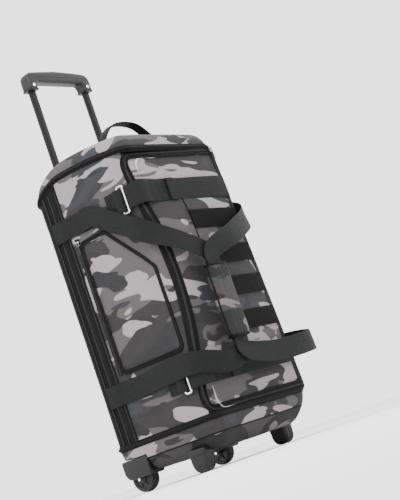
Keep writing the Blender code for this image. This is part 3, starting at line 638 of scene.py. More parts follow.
def lid_at(x, z, lift=0.0, size=0.0):
    """A point of the lid's crowned face."""
    left = skin(-1, zip_reach(z), z, creased=False)
    u = min(max((x - left.x) / (LID_RIGHT - left.x), 0.0), 1.0)
    v = abs(2 * height_share(z) - 1)
    y = left.y + (LID_EDGE - left.y) * u - LID_CROWN * (1 - abs(2 * u - 1) ** 3) * (1 - v**4)
    for centre in STRAPS.values():
        y += 0.0022 * math.exp(-(((z - centre) / 0.030) ** 2)) * (1 - abs(2 * u - 1) ** 2)
    y += crease(Vector((x, 0.0, z)), 0.5 * size) * min(1.0, u * 12, (1 - u) * 12)
    return Vector((x, y - lift, z))


def run_to(x):
    """How far round from the left rear seam the lid's face reaches an x."""
    return flat_run(-1) + turn_run(-1) + x + HALF_W - CORNERS[-1]


def over(s, z, lift=0.0, size=0.0):
    """A point of the side's cloth up to the zip's line, and of the lid's face beyond it."""
    if s <= zip_reach(z):
        return skin(-1, s, z, lift, creased=False)
    return lid_at(skin(-1, s, z, creased=False).x, z, lift, size)


def zip_left(z, inset):
    """How far round the zip's line is at a height, with its rounded corners."""
    radius = ZIP_CORNER - inset
    past = max(z - (ZIP_TOP - inset - radius), ZIP_BOTTOM + inset + radius - z, 0.0)
    return zip_reach(z) + inset + radius - math.sqrt(max(radius**2 - past**2, 0.0))


def zip_heights(inset):
    radius = ZIP_CORNER - inset
    high, low = ZIP_TOP - inset - radius, ZIP_BOTTOM + inset + radius
    turn = [radius * math.sin(math.radians(a)) for a in span(90, 0, 8)]
    return [high + t for t in turn] + span(high, low, 44)[1:-1] + [low - t for t in reversed(turn)]


def zip_path(inset=0.0):
    """The lid's zip in (s, z): from the upper right, down the left of the lid, to the lower right."""
    left = [(zip_left(z, inset), z) for z in zip_heights(inset)]
    top = [(s, left[0][1]) for s in span(run_to(0.150), left[0][0], 24)[:-1]]
    bottom = [(s, left[-1][1]) for s in span(left[-1][0], run_to(0.150), 24)[1:]]
    return [*top, *left, *bottom]


# ---- shell ------------------------------------------------------------------------------------------
def pocket_outline(grow=0.0):
    """The side pocket flap in (s, z): its upper front corner is cut away under the handle."""
    hinge, free = BACK_WRAP - POCKET_HINGE, BACK_WRAP - POCKET_FREE
    points = [
        (hinge - grow, POCKET_LOW - grow),
        (free + grow, POCKET_LOW - grow),
        (free + grow, POCKET_HIGH - POCKET_CUT[1] + grow * 0.4),
        (hinge + POCKET_CUT[0] + grow * 0.4, POCKET_HIGH + grow),
        (hinge - grow, POCKET_HIGH + grow),
    ]
    return closed_evenly(rounded(points, 0.012 + grow), 0.007)


POCKET_CENTRE = Vector((BACK_WRAP - (POCKET_HINGE + POCKET_FREE) / 2, (POCKET_LOW + POCKET_HIGH) / 2))


def meet(centre, point, outline):
    """Where the ray from the centre through a point leaves a closed outline."""
    way = point - centre
    found = []
    for a, b in zip(outline, outline[1:] + outline[:1]):
        edge = b - a
        across = way.x * edge.y - way.y * edge.x
        if abs(across) > 1e-12:
            t = ((a.x - centre.x) * edge.y - (a.y - centre.y) * edge.x) / across
            u = ((a.x - centre.x) * way.y - (a.y - centre.y) * way.x) / across
            if t > 0 and -1e-6 <= u <= 1 + 1e-6:
                found.append(t)
    return centre + way * min(found)


def side_edge(sign, z):
    """Where the side's cloth ends: at the lid's zip on the left, at the hinge on the right."""
    return zip_reach(z) if sign < 0 else flat_run(1) + turn_run(1)


def seam_at(sign, s):
    return seam_height(skin(sign, s, SEAM_HIGH, creased=False).y)


def side_cloth(name, sign):
    bottom = [Vector((s, SEAM_LOW)) for s in span(0, side_edge(sign, SEAM_LOW), 34)]
    front = [Vector((side_edge(sign, z), z)) for z in span(SEAM_LOW, SEAM_HIGH, 64)[1:]]
    top = [Vector((s, seam_at(sign, s))) for s in span(side_edge(sign, SEAM_HIGH), 0, 34)[1:]]
    rear = [Vector((0, z)) for z in span(top[-1].y, SEAM_LOW, 60)[1:-1]]
    outer = bottom + front + top + rear
    hole = pocket_outline(0.0008)
    inner = [meet(POCKET_CENTRE, point, hole) for point in outer]
    grid = []
    for share in span(0, 1, 16):
        places = [a.lerp(b, share) for a, b in zip(inner, outer)]
        gathers = [pucker(seam_at(sign, p.x) - p.y, p.x) + pucker(p.y - SEAM_LOW, p.x) for p in places]
        grid.append([skin(sign, p.x, p.y, gather) for p, gather in zip(places, gathers)])
    mesh = thicken(surface(grid, closed_rows=True), 0.0024, Vector((sign, -0.2, 0)))
    add(f"{name}_side_cloth", mesh, "camouflage", "bag", [f"{name}_side_panel"])


BACK_SIDE = HALF_D - BACK_CORNER - BACK_WRAP
BACK_TURN = BACK_CORNER * math.pi / 2
BACK_RUN = 2 * (BACK_SIDE + BACK_TURN + HALF_W - BACK_CORNER)
GUSSET_START, GUSSET_END = 0.005, 0.073
RIB_PITCH, RIB_HEIGHT = 0.034, 0.0032
PAD_START, PAD_WIDTH, PAD_HEIGHT, PAD_ROW = 0.086, 0.065, 0.0045, 0.145


def back_at(t, z, lift=0.0):
    """A point of the black back: t runs from one side's rear seam round to the other."""
    d = min(t, BACK_RUN - t)
    angle = min(max((d - BACK_SIDE) / BACK_CORNER, 0.0), math.pi / 2)
    x = BACK_CORNER * (1 - math.cos(angle)) - HALF_W + max(d - BACK_SIDE - BACK_TURN, 0.0)
    y = BACK_WRAP + min(d, BACK_SIDE) + BACK_CORNER * math.sin(angle)
    held = min(1.0, max(z - SEAM_LOW, 0.0) / 0.03, max(seam_height(y) - z, 0.0) / 0.03)
    raised = 0.0
    if GUSSET_START < d < GUSSET_END:
        raised = RIB_HEIGHT * max(math.sin(math.tau * (d - GUSSET_START) / RIB_PITCH), 0.0) ** 0.7
    elif d > PAD_START:
        rows = 0.55 + 0.45 * abs(math.sin(math.pi * (z - SEAM_LOW) / PAD_ROW)) ** 0.5
        raised = PAD_HEIGHT * abs(math.sin(math.pi * (d - PAD_START) / PAD_WIDTH)) ** 0.6 * rows
    out = held * raised + lift + crease(Vector((x, y, z)), 0.3) - 0.0030 * (d > 0.07)
    point = Vector((x, y, z)) + Vector((-math.cos(angle), math.sin(angle), 0)) * out
    return Vector((-point.x, point.y, point.z)) if t > d else point


def back_cloth():
    grid = []
    for share in span(0, 1, 70):
        row = []
        for t in span(0, BACK_RUN, 150):
            top = seam_height(back_at(t, SEAM_LOW).y)
            row.append(back_at(t, SEAM_LOW + (top - SEAM_LOW) * share))
        grid.append(row)
    add("back_cloth", thicken(surface(grid), 0.0024, -FRONT), "black_fabric", "bag", ["back_panel"])
    lines = []
    for d in (0.0025, 0.0225, 0.0390, 0.0565):
        for t in (d, BACK_RUN - d):
            lines.append(cord([back_at(t, z, 0.0012) for z in span(SEAM_LOW + 0.006, 0.672, 50)], 0.0013))
    add("gusset_lines", join(lines), "coil", "bag")


def end_ring(inset, seam, rise, waves=0.0):
    outline = rectangle(HALF_W - inset, HALF_D - inset, max(END_CORNER - inset * 0.5, 0.006), 8)
    ring = []
    for p in closed_evenly(outline, 0.0057):
        puff = crease(Vector((p.x, p.y, rise)), waves)
        ring.append(Vector((p.x, p.y, seam(p.y) + rise + puff)))
    return ring


def even_rings(rings, count=170):
    """The same rings with equal counts of points."""
    fine = [evenly([*ring, ring[0]], 0.001) for ring in rings]
    return [[ring[int(i * (len(ring) - 1) / count)] for i in range(count)] for ring in fine]


def dome(seam, rise, start, end, steps):
    """Rings of an end panel between two shares of its roundness, and on to its middle."""
    rings = []
    for share in span(start, end, steps):
        a = share * math.pi / 2
        rings.append(end_ring(END_ROUND * (1 - math.cos(a)), seam, rise * math.sin(a), 0.6 * share))
    if end == 1.0:
        for inset in span(END_ROUND, 0.125, 9)[1:]:
            rings.append(end_ring(inset, seam, rise * (1 + 0.03 * ease(inset / 0.1)), 0.8))
    return even_rings(rings)


def top_end():
    mesh = surface(dome(seam_height, END_TOP, 0.0, 1.0, 9), closed_rows=True, filled=True)
    panel = add("top_end_cloth", thicken(mesh, 0.003, UP), "camouflage", "bag", ["top_end_panel"])
    low, high = from_middle("trolley_collar")
    carve(panel, [(low - Vector((0.001, 0.001, 0.03)), high + Vector((0.001, 0.001, 0.03)))])
    rim = rectangle((high.x - low.x) / 2 + 0.003, (high.y - low.y) / 2 + 0.003, 0.006)
    centre = (low + high) / 2
    path = []
    for p in closed_evenly(rim, 0.006):
        y = centre.y + p.y
        path.append(Vector((centre.x + p.x, y, seam_height(y) + END_TOP + 0.0008)))
    add("collar_binding", cord(path, 0.0026, cyclic=True), "binding", "bag", soft=False)


def seam_level(_):
    return SEAM_LOW


def wheel_end():
    """The padded end over the wheels: a camouflage band above a darker base, cut round the hard parts. The
    base's half-bright camouflage is painted shade under the bag.
    """
    room = Vector((0.001, 0.001, 0.001))
    down = Vector((0, 0, -1))
    seats = []
    for name, sign in SIDES:
        low, high = from_middle(f"wheel_housing_{name}")
        out = Vector((sign * 0.03, 0.03, 0))
        low += Vector([min(v, 0) for v in out])
        high += Vector([max(v, 0) for v in out])
        seats.append((low - room, high + room))
        low, high = from_middle(f"front_foot_{name}")
        seats.append((low - room, high + room))
    upper = dome(seam_level, END_BOTTOM, 0.0, BASE_JOIN, 5)
    lower = dome(seam_level, END_BOTTOM, BASE_JOIN, 1.0, 7)
    skirt = thicken(surface(upper, closed_rows=True), 0.003, down)
    carve(add("wheel_end_band", skirt, "camouflage", "bag", ["wheel_end_panel"]), seats)
    # The base takes the half-bright camouflage: painted shade under the bag.
    base = thicken(surface(lower, closed_rows=True, filled=True), 0.003, down)
    carve(add("wheel_end_base", base, "camouflage_dark", "bag"), seats)
    add("wheel_end_seam", cord(closed_evenly(lower[0], 0.006), 0.0016, cyclic=True), "binding", "bag")


def piping():
    """Binding tape with a cord in it, round both end seams and up the two rear seams."""
    for name, seam, lift in (("top", seam_height, -0.001), ("wheel_end", seam_level, 0.001)):
        path = closed_evenly(end_ring(0.0, seam, 0.0), 0.007)
        outward = [Vector((p.x / HALF_W, p.y / HALF_D, 0)).normalized() for p in path]
        tape = [p + o * 0.0008 + UP * lift for p, o in zip(path, outward)]
        bead = [p + o * 0.0022 + UP * lift for p, o in zip(path, outward)]
        mesh = join([band(tape, UP, 0.014, WEB, cyclic=True), cord(bead, 0.0032, cyclic=True)])
        add(f"{name}_piping", mesh, "binding", "bag")
    for name, sign in SIDES:
        path = [side_at(sign, BACK_WRAP, z, 0.0006) for z in span(SEAM_LOW, seam_height(BACK_WRAP), 60)]
        add(f"{name}_rear_piping", cord(path, 0.0026), "binding", "bag")


def opening_rim():
    """The black frame round the main opening, under the zip, and its strip on the hinge side."""
    outer, inner = zip_path(-0.006), zip_path(0.020)
    grid = []
    for share in span(0, 1, 5):
        places = [Vector(a).lerp(Vector(b), share) for a, b in zip(outer, inner)]
        grid.append([over(p.x, p.y, -0.0042) for p in places])
    add("opening_rim", thicken(surface(grid), 0.0018, FRONT), "black_fabric", "bag", ["front_rim"])
    strip_y, strip_x = -0.1425, (0.149, 0.140, 0.131)
    strip = [[Vector((x, strip_y, z)) for x in strip_x] for z in span(0.102, 0.682, 50)]
    add("hinge_side_rim", thicken(surface(strip), 0.0018, FRONT), "black_fabric", "bag")


def compartment_lining():
    """The silver lining of the main compartment: a soft box that is open towards the lid."""
    places = [(y, 1.0) for y in span(-0.1385, 0.082, 22)]
    places += [(0.090, 0.985), (0.0945, 0.955), *[(0.0955, share) for share in span(0.86, 0.08, 9)]]
    rings = []
    for y, share in places:
        low, high = 0.1085, min(seam_height(y), 0.692) + 0.014 - max(-0.10 - y, 0.0) * 0.9
        ring = []
        for p in closed_evenly(rectangle(0.133, (high - low) / 2, 0.022), 0.012):
            point = Vector((p.x * share, y, (low + high) / 2 + p.y * share))
            wave = 0.002 + crease(point * 1.4, 1.0)
            inward = Vector((-p.x, 0, -p.y)).normalized() if share > 0.9 else FRONT
            ring.append(point + inward * wave)
        rings.append(ring)
    mesh = surface(even_rings(rings, 120), closed_rows=True, filled=True)
    lining = thicken(mesh, 0.0010, -FRONT)
    add("compartment_lining", lining, "lining", "bag", ["back_board", "base_board"], soft=False)


# ---- lid --------------------------------------------------------------------------------------------
def lid_cloths():
    def laid(lift, size):
        rows = []
        for z in zip_heights(0.002):
            rows.append([over(s, z, lift, size) for s in span(zip_left(z, 0.002), run_to(LID_RIGHT), 50)])
        return surface(rows)

    add("lid_cloth", thicken(laid(0.0, 1.0), 0.0022, FRONT), "camouflage", "lid", ["main_lid"])
    add("lid_lining", thicken(laid(-0.0034, 1.0), 0.0008, FRONT), "lining", "lid")
    seam = [lid_at(ROW_RUN[0] + 0.001, z, 0.0006, 1.0) for z in span(0.560, 0.240, 40)]
    add("lid_seam", cord(seam, 0.0014), "binding", "lid")


def lid_zip():
    """The zip's tape with its binding, and the teeth along its middle."""
    outer, middle, inner = [
        [over(s, z, lift) for s, z in zip_path(inset)]
        for inset, lift in ((-TAPE / 2, 0.0014), (0.0, 0.0026), (TAPE / 2, 0.0022))
    ]
    tape = thicken(surface([outer, middle, inner]), 0.0016, FRONT)
    add("lid_zip_tape", tape, "binding", "lid", ["lid_zip_trim"])
    edges = join([cord(evenly(inner, 0.007), 0.0024), cord(evenly(outer, 0.007), 0.0019)])
    add("lid_binding", edges, "binding", "lid")
    out = Vector((-0.5, -1.0, 0.0)).normalized()
    add("lid_zip_coil", coil(evenly(middle, 0.004), out), "coil", "lid")


def hinge_strip():
    """The fabric hinge of the lid, which bends round the right front corner."""
    grid = []
    for z in span(SEAM_LOW + 0.006, SEAM_HIGH - 0.006, 60):
        row = [skin(1, s, z, 0.0014, False) for s in span(flat_run(1) - 0.018, flat_run(1) + turn_run(1), 8)]
        grid.append(row + [lid_at(LID_RIGHT - x, z, 0.0014) for x in (0.002, 0.008, 0.016)])
    strip = add("lid_hinge_strip", thicken(surface(grid), 0.0012, Vector((1, -1, 0))), "binding", None)
    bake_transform(strip)


def webbing_rows():
    for number, centre in enumerate(ROWS, start=1):
        path = [lid_at(x, centre, 0.0026, 0.5) for x in span(*ROW_RUN, 34)]
        row = band(path, UP, 0.042, 0.0026)
        add(f"lid_row_{number}", row, "loop_tape", "lid", [f"lid_webbing_{number}"])
        lines = [[p + Vector((0, -0.0016, offset)) for p in path] for offset in (-0.0185, 0.0185)]
        for x in (ROW_RUN[0] + 0.003, ROW_RUN[1] - 0.003):
            lines.append([lid_at(x, centre + z, 0.0042, 0.5) for z in span(-0.0185, 0.0185, 6)])
        add(f"lid_row_{number}_stitching", stitches(lines), "thread", "lid")


def compression_straps():
    for name, height in STRAPS.items():
        ring_x = -HALF_W - RING_OUT
        entry = [(ring_x, -0.1145), (ring_x - 0.0006, -0.132), (ring_x + 0.005, -0.1545)]
        crossing = []
        for x in span(-0.132, 0.150, 26):
            crossing.append(lid_at(x, height, 0.0036 + 0.0035 * ease((-0.108 - x) / 0.022), 0.5))
        path = curve_through([*[Vector((x, y, height)) for x, y in entry], *crossing], 3)
        doubled = [p for p in path if p.x < -0.052 and p.y < -0.130]
        doubled = [p + way.cross(UP) * 0.0026 for p, way in zip(doubled, directions(doubled))]
        tail = [Vector((ring_x - 0.0032, -0.1150, height)), Vector((ring_x - 0.0038, -0.124, height))]
        second = [*tail, *doubled]
        hem = [second[-1] + Vector((-x, -0.0022, 0)) for x in (0.024, 0.012, 0.0)]
        webs = join([band(line, UP, STRAP) for line in (path, second, hem)])
        add(f"{name}_compression_strap", webs, "webbing", "lid", [f"{name}_strap"])
        lines = box_stitch(path[-1] + Vector((-0.034, -0.0016, -0.020)), Vector((0.030, 0, 0)), UP * 0.040)
        lines += box_stitch(hem[0] + Vector((0.002, -0.0014, -0.021)), Vector((0.018, 0, 0)), UP * 0.042)
        add(f"{name}_strap_stitching", stitches(lines), "thread", "lid")

        outline = closed_evenly(rectangle(0.0076, 0.0295, 0.003), 0.003)
        ring = [Vector((ring_x - 0.0004, RING_Y + p.x, height + p.y)) for p in outline]
        wire = cord(ring, 0.0024, cyclic=True, sides=12)
        add(f"{name}_chrome_ring", wire, "metal", "lid", [f"{name}_buckle"], soft=False)

        loop = [(0.0026, -0.056), (0.0026, -0.076), (0.0024, -0.0900), (0.0032, -0.0975), (0.0065, -0.1030),
                (0.0102, -0.0990), (0.0118, -0.0920), (0.0106, -0.0850), (0.0066, -0.078), (0.0052, -0.056)]
        path = curve_through([Vector((-HALF_W - x, y, height)) for x, y in loop], 5)
        add(f"{name}_anchor_fold", band(path, UP, STRAP), "webbing", "bag", [f"{name}_anchor_loop"])
        corner = Vector((-HALF_W - 0.0074, -0.057, height - 0.020))
        sewn = stitches(box_stitch(corner, Vector((0, -0.014, 0)), UP * 0.040))
        add(f"{name}_anchor_stitching", sewn, "thread", "bag")

        tail = [side_at(1, y, height, 0.0032) for y in span(-0.132, -0.052, 14)]
        add(f"{name}_strap_tail", band(tail, UP, STRAP), "webbing", "bag", [f"{name}_strap_anchor"])
        corner = tail[-1] + Vector((0.0014, -0.024, -0.020))
        sewn = stitches(box_stitch(corner, Vector((0, 0.021, 0)), UP * 0.040))
        add(f"{name}_tail_stitching", sewn, "thread", "bag")


# ---- side pockets -----------------------------------------------------------------------------------
def pockets():
    for name, sign in SIDES:
        outline = pocket_outline(-0.0004)
        shares = [1.0, 0.985, 0.95, *span(0.88, 0.06, 12)]
        side = Vector((sign, 0, 0))

        def laid(share, lift):
            places = [POCKET_CENTRE.lerp(p, share) for p in outline]
            return [skin(sign, p.x, p.y, lift) for p in places]

        def padded_sheet(lift, puff):
            rows = [laid(share, lift + puff * (1 - share**6)) for share in shares]
            return surface(rows, closed_rows=True, filled=True)

        flap = thicken(padded_sheet(0.0004, 0.0030), 0.0020, side)
        add(f"{name}_flap_cloth", flap, "camouflage", f"{name}_flap", [f"{name}_pocket_flap"])
        inner = thicken(padded_sheet(-0.0022, 0.0024), 0.0008, side)
        add(f"{name}_flap_lining", inner, "lining", f"{name}_flap")
        tape = thicken(surface([laid(1.0, 0.0012), laid(0.955, 0.0036)], closed_rows=True), 0.0012, side)
        edge = cord(closed_evenly(laid(1.0, 0.0012), 0.007), 0.0022, cyclic=True)
        add(f"{name}_flap_binding", join([tape, edge]), "binding", f"{name}_flap")
        sewn = laid(0.945, 0.0044)
        add(f"{name}_flap_stitching", stitches([[*sewn, sewn[0]]]), "thread", f"{name}_flap")
        pocket_tray(name, sign)
        slim_zip(name, sign)


def pocket_tray(name, sign):
    """The silver pocket behind a flap, open outwards."""
    outline = pocket_outline(0.003)
    steps = [(1.0, 0.0030), (0.995, 0.010), (0.985, 0.017), (0.95, 0.0205)]
    steps += [(share, 0.0212) for share in span(0.86, 0.06, 10)]
    rows = []
    for share, depth in steps:
        row = []
        for p in outline:
            s, z = POCKET_CENTRE.lerp(p, share)
            wave = crease(Vector((0, s, z)) * 1.5, 0.6) * (1 - share)
            row.append(Vector((sign * (HALF_W - depth + wave), BACK_WRAP - s, z)))
        rows.append(row)
    mesh = thicken(surface(rows, closed_rows=True, filled=True), 0.0010, Vector((sign, 0, 0)))
    add(f"{name}_pocket_tray", mesh, "lining", "bag", [f"{name}_pocket_lining"])


def slim_zip(name, sign):
    """The slim pocket's closed zip, just behind the flap's hinge."""
    path = [side_at(sign, ZIP_LINE, z, 0.0012) for z in span(0.248, 0.556, 44)]
    add(f"{name}_zip_tape", band(path, FRONT, 0.0125, 0.0016), "binding", "bag")
    out = Vector((sign, 0, 0))
    add(f"{name}_zip_coil", coil([p + out * 0.0008 for p in path], out), "coil", "bag")


def pull_tabs():
    """A cord loop and a moulded tab for each slider's pull."""
    section = oval(0.0036, 0.0013, 1.0, 16)
    for node, body, out in (
        ("left_pocket_pull", "left_pull", Vector((-1, 0, 0))),
        ("right_pocket_pull", "right_pull", Vector((1, 0, 0))),
        ("lid_pull", "lid_pull", FRONT),
    ):
        low, high = from_middle(node)
        centre = (low + high) / 2
        across = out.cross(UP)
        rings = []
        for z, size in ((0.0, 0.55), (0.002, 0.9), (0.010, 1.0), (0.016, 0.8), (0.0185, 0.45)):
            place = Vector((centre.x, centre.y, low.z + z))
            rings.append([place + across * p.x * size + out * p.y * size for p in section])
        top, bottom = high.z - 0.0008, low.z + 0.0165
        eye = [(0.0, top), (0.0022, top - 0.0022), (0.0024, bottom + 0.0035), (0.0, bottom)]
        eye += [(-u, z) for u, z in eye[2:0:-1]]
        loop = [Vector((centre.x, centre.y, z)) + across * u for u, z in eye]
        closed = curve_through([*loop, loop[0]], 4)[:-1]
        mesh = join([loft(rings), cord(closed, 0.0008, cyclic=True, sides=8)])
        add(f"{node}_tab", mesh, "rubber", body, [node], soft=False)


# ---- carry handles ----------------------------------------------------------------------------------
def sewn_webbing():
    for name, sign in SIDES:
        for place, height in HANDLES.items():
            path = []
            for y in span(BACK_WRAP + 0.0385, 0.0, 26):
                path.append(side_at(sign, y, height, 0.0024 + 0.0030 * ease((y - BACK_WRAP + 0.010) / 0.02)))
            strap = band(path, UP, WEBBING)
            add(f"{name}_{place}_sewn_webbing", strap, "webbing", "bag", [f"{name}_handle_anchor_{place}"])
            lines = [[p + Vector((sign * 0.0013, 0, offset)) for p in path] for offset in (-0.020, 0.020)]
            corner = side_at(sign, 0.045, height - 0.019, 0.0040)
            lines += box_stitch(corner, Vector((0, -0.038, 0)), UP * 0.038)
            add(f"{name}_{place}_stitching", stitches(lines), "thread", "bag")


def carry_handles():
    """The two loose loops. Each bends where it leaves its sewn webbing."""
    routes = {
        "left": (-1, 0.003, [(-0.173, -0.070, 0.545), (-0.172, -0.145, 0.495), (-0.115, -0.185, 0.455)],
                 [(-0.112, -0.186, 0.196), (-0.172, -0.155, 0.212), (-0.175, -0.080, 0.214)]),
        "right": (1, -0.003, [(0.178, -0.070, 0.555), (0.182, -0.145, 0.515), (0.040, -0.201, 0.462)],
                  [(0.020, -0.203, 0.192), (0.178, -0.196, 0.197), (0.200, -0.105, 0.212)]),
    }
    samples = 9
    for name, (sign, layer, upper, lower) in routes.items():
        flat = Vector((-sign, 0, 0))
        through = [WRAP_AT + Vector((0, layer, z)) for z in (0.104, 0.075, 0.0, -0.075, -0.104)]
        sewn = [(sign * (HALF_W + 0.0066), 0.030), (sign * (HALF_W + 0.0078), -0.003)]
        start = [(x, y, HANDLES["upper"]) for x, y in sewn]
        end = [(x, y, HANDLES["lower"]) for x, y in reversed(sewn)]
        turns = [UP] * (len(upper) + 1) + [(UP + flat).normalized()] + [flat] * len(through)
        turns += [(flat - UP).normalized()] + [-UP] * (len(lower) + 1)
        path = curve_through([*start, *upper, *through, *lower, *end], samples)
        across = []
        for first, second in zip(turns, turns[1:]):
            across += [first.lerp(second, i / samples).normalized() for i in range(samples)]
        mesh = band(path, [*across, turns[-1]], WEBBING)
        strap = add(f"{name}_carry_webbing", mesh, "webbing", None, [f"{name}_handle"])
        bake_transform(strap)


def wrap():
    """The padded sleeve round both loops: quilted lengthwise, with bound edges."""
    half_x, half_y, half_z = 0.031, 0.0155, 0.079
    rings = []
    for z in span(-half_z, half_z, 40):
        taper = 1 - 0.16 * ease((abs(z) / half_z - 0.86) / 0.14)
        ring = []
        for p in oval(half_x, half_y, 0.66):
            channel = 0.07 * abs(math.cos(math.pi * p.x / 0.0125)) ** 6 * min(abs(p.y) / half_y * 2, 1.0)
            size = taper * (1 - channel) + crease(Vector((p.x, p.y, z)) * 2, 16.0)
            ring.append(WRAP_AT + Vector((p.x * size, p.y * size, z)))
        rings.append(ring)
    hollow = oval(0.0252, 0.0062, 0.5)
    for z in span(half_z, -half_z, 12):
        rings.append([WRAP_AT + Vector((p.x, p.y, z)) for p in hollow])
    mesh = loft(rings, cyclic=True)
    pad = add("wrap_pad", mesh, "camouflage_dark", "left_carry_handle", ["handle_wrap"])
    edges = []
    for x in (0.0004 - half_x, half_x - 0.0004):
        edges.append(cord([WRAP_AT + Vector((x, -0.0015, z)) for z in span(-0.075, 0.075, 20)], 0.0022))
    for z in (0.0015 - half_z, half_z - 0.0015):
        loop = [WRAP_AT + Vector((p.x, p.y, z)) for p in oval(half_x * 0.87, half_y * 0.87, 0.66)]
        edges.append(cord(loop, 0.0024, cyclic=True))
    add("wrap_binding", join(edges), "binding", "left_carry_handle")


def grab_handle():
    """The webbing arch on the top end, on two sewn feet."""
    low, high = from_middle("top_grab_handle")
    base = low.z + 0.0015
    rise = high.z - 0.0015 - base
    half = 0.088
    right = [(half * 0.42, 0.97), (half - 0.016, 0.48), (half + 0.004, 0.0), (half + 0.016, 0.0)]
    points = [(-x, share) for x, share in reversed(right)] + right
    path = curve_through([(x, GRAB_Y, base + rise * share) for x, share in points], 8)
    path = [Vector((p.x, p.y, max(p.z, base))) for p in path]
    strap = band(path, -FRONT, 0.025, 0.003)
    arch = add("grab_webbing", strap, "webbing", None, ["top_grab_handle"], soft=False)
    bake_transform(arch)
    lines = []
    for sign in (-1, 1):
        corner = Vector((sign * (half + 0.004), GRAB_Y - 0.0095, base + 0.0019))
        lines += box_stitch(corner, Vector((sign * 0.011, 0, 0)), Vector((0, 0.019, 0)))
    add("grab_stitching", stitches(lines), "thread", "bag", soft=False)


# ---- trolley ----------------------------------------------------------------------------------------
def grip_outline(low, top):
    """The grip seen from the front: rounded shoulders, two legs and an arched underside."""
    half, leg_in, arch, shoulder, under = 0.105, 0.077, 0.006, 0.020, 0.949
    crown = [(x, top - arch * (x / half) ** 2) for x in span(half - shoulder, shoulder - half, 16)]
    corner = crown[0][1] - shoulder
    right = arc((half - shoulder, corner), shoulder, 0, 84, 8)
    left = arc((shoulder - half, corner), shoulder, 96, 180, 8)
    inner = [(-half, low), (-leg_in, low), *arc((0.0105 - leg_in, under - 0.0105), 0.0105, 180, 90, 6)]
    return [*right, *crown[1:-1], *left, *inner, *[(-x, z) for x, z in reversed(inner)]]


def grip():
    """Both moulded shells of the grip, parted along a line, with room for the button and the screws."""
    low, top = from_middle("grip_lower_shell")[0].z, from_middle("grip_upper_shell")[1].z
    part = from_middle("grip_lower_shell")[1].z
    button_low, button_high = from_middle("grip_button")
    hollow = (
        button_low - Vector((0.0012, 0.0006, 0.007)),
        Vector((button_high.x + 0.0012, button_high.y + 0.0006, part + 0.0046)),
    )
    hole_x, hole_y = 0.0172, 0.0073
    hole = (
        Vector((-hole_x, TROLLEY_Y - hole_y, part - 0.002)),
        Vector((hole_x, TROLLEY_Y + hole_y, top + 0.01)),
    )
    seats = []
    for x in (-TUBE_X, TUBE_X):
        seat_low = Vector((x - 0.0047, TROLLEY_Y - 0.020, 0.9363))
        seat_high = Vector((x + 0.0047, TROLLEY_Y - 0.0128, 0.9457))
        seats.append((seat_low, seat_high))
    half_depth, lip_x = 0.0148, 0.091
    for name, away, cuts in (
        ("upper", (Vector((-0.2, 0.0, 0.9)), Vector((0.2, 0.2, part + 0.0003))), [hole, hollow]),
        ("lower", (Vector((-0.2, 0.0, part - 0.0003)), Vector((0.2, 0.2, 1.1))), [hollow, *seats]),
    ):
        faces = (TROLLEY_Y - half_depth, TROLLEY_Y + half_depth)
        mesh = loft([[(x, y, z) for x, z in grip_outline(low, top)] for y in faces])
        shell = add(f"grip_{name}_cover", mesh, "grip", "trolley", [f"grip_{name}_shell"], soft=False)
        carve(bevelled(shell, 0.0075), [away, *cuts])
    collars = []
    for x in (-lip_x, lip_x):
        rings = []
        for z, size in ((0.9303, 0.96), (0.9307, 0.99), (0.9312, 1.0), (0.9332, 1.0), (0.9337, 0.97)):
            outline = rectangle(0.0146 * size, 0.0154 * size, 0.006)
            rings.append([Vector((x + p.x, TROLLEY_Y + p.y, z)) for p in outline])
        collars.append(loft(rings))
    add("grip_lips", join(collars), "plastic", "trolley", soft=False)


# ---- wheels, housings and feet ----------------------------------------------------------------------
def turned(profile, centre, steps=60):
    """A profile of (radius, x) turned about an axle along X."""
    angles = [math.tau * i / steps for i in range(steps)]
    rings = [[centre + Vector((x, math.cos(a) * r, math.sin(a) * r)) for r, x in profile] for a in angles]
    return loft(rings, cyclic=True)


def wheels():
    for name, sign in SIDES:
        centre = Vector((sign * WHEEL_AT.x, WHEEL_AT.y, WHEEL_AT.z))
        crown = []
        for x in span(-0.012, 0.012, 34):
            groove = 0.0007 if abs(abs(x) - 0.0042) < 0.0007 else 0.0
            crown.append((WHEEL_AT.z - 0.0026 * (x / 0.012) ** 4 - groove, x))
        tyre = [(0.0215, 0.0114), (0.0215, -0.0114), (0.0235, -0.0119), *crown, (0.0235, 0.0119)]
        tread = turned(tyre, centre, 72)
        add(f"{name}_tyre", tread, "rubber", f"{name}_wheel", [f"wheel_{name}"], soft=False)
        face = [(0.0034, 0.0128), (0.0085, 0.0128), (0.0092, 0.0095), (0.0150, 0.0085), (0.0196, 0.0095),
                (0.0205, 0.0112), (0.0213, 0.0112)]
        parts = [turned(face + [(r, -x) for r, x in reversed(face)], centre)]
        for k in range(6):
            way = Vector((0, math.cos(math.tau * k / 6), math.sin(math.tau * k / 6)))
            for x in (-0.0096, 0.0096):
                out = Vector((x, 0, 0))
                parts.append(cord([centre + way * r + out for r in (0.0090, 0.0145, 0.0200)], 0.0013))
        add(f"{name}_hub", join(parts), "plastic", f"{name}_wheel", soft=False)


def housings():
    for name, sign in SIDES:
        low, high = from_middle(f"wheel_housing_{name}")
        heel = arc((high.y - 0.020, low.z + 0.020), 0.020, 270, 360, 6)
        profile = [(low.y, low.z), *heel, (high.y, high.z), (low.y, high.z)]
        mesh = loft([[(x, y, z) for y, z in profile] for x in (low.x, high.x)])
        shell = add(f"{name}_wheel_arch", mesh, "plastic", "bag", [f"wheel_housing_{name}"], soft=False)
        x = sign * WHEEL_AT.x
        well = (Vector((x - 0.015, WHEEL_AT.y - 0.034, 0.0)), Vector((x + 0.015, WHEEL_AT.y + 0.034, 0.0655)))
        carve(bevelled(shell, 0.0045), [well])


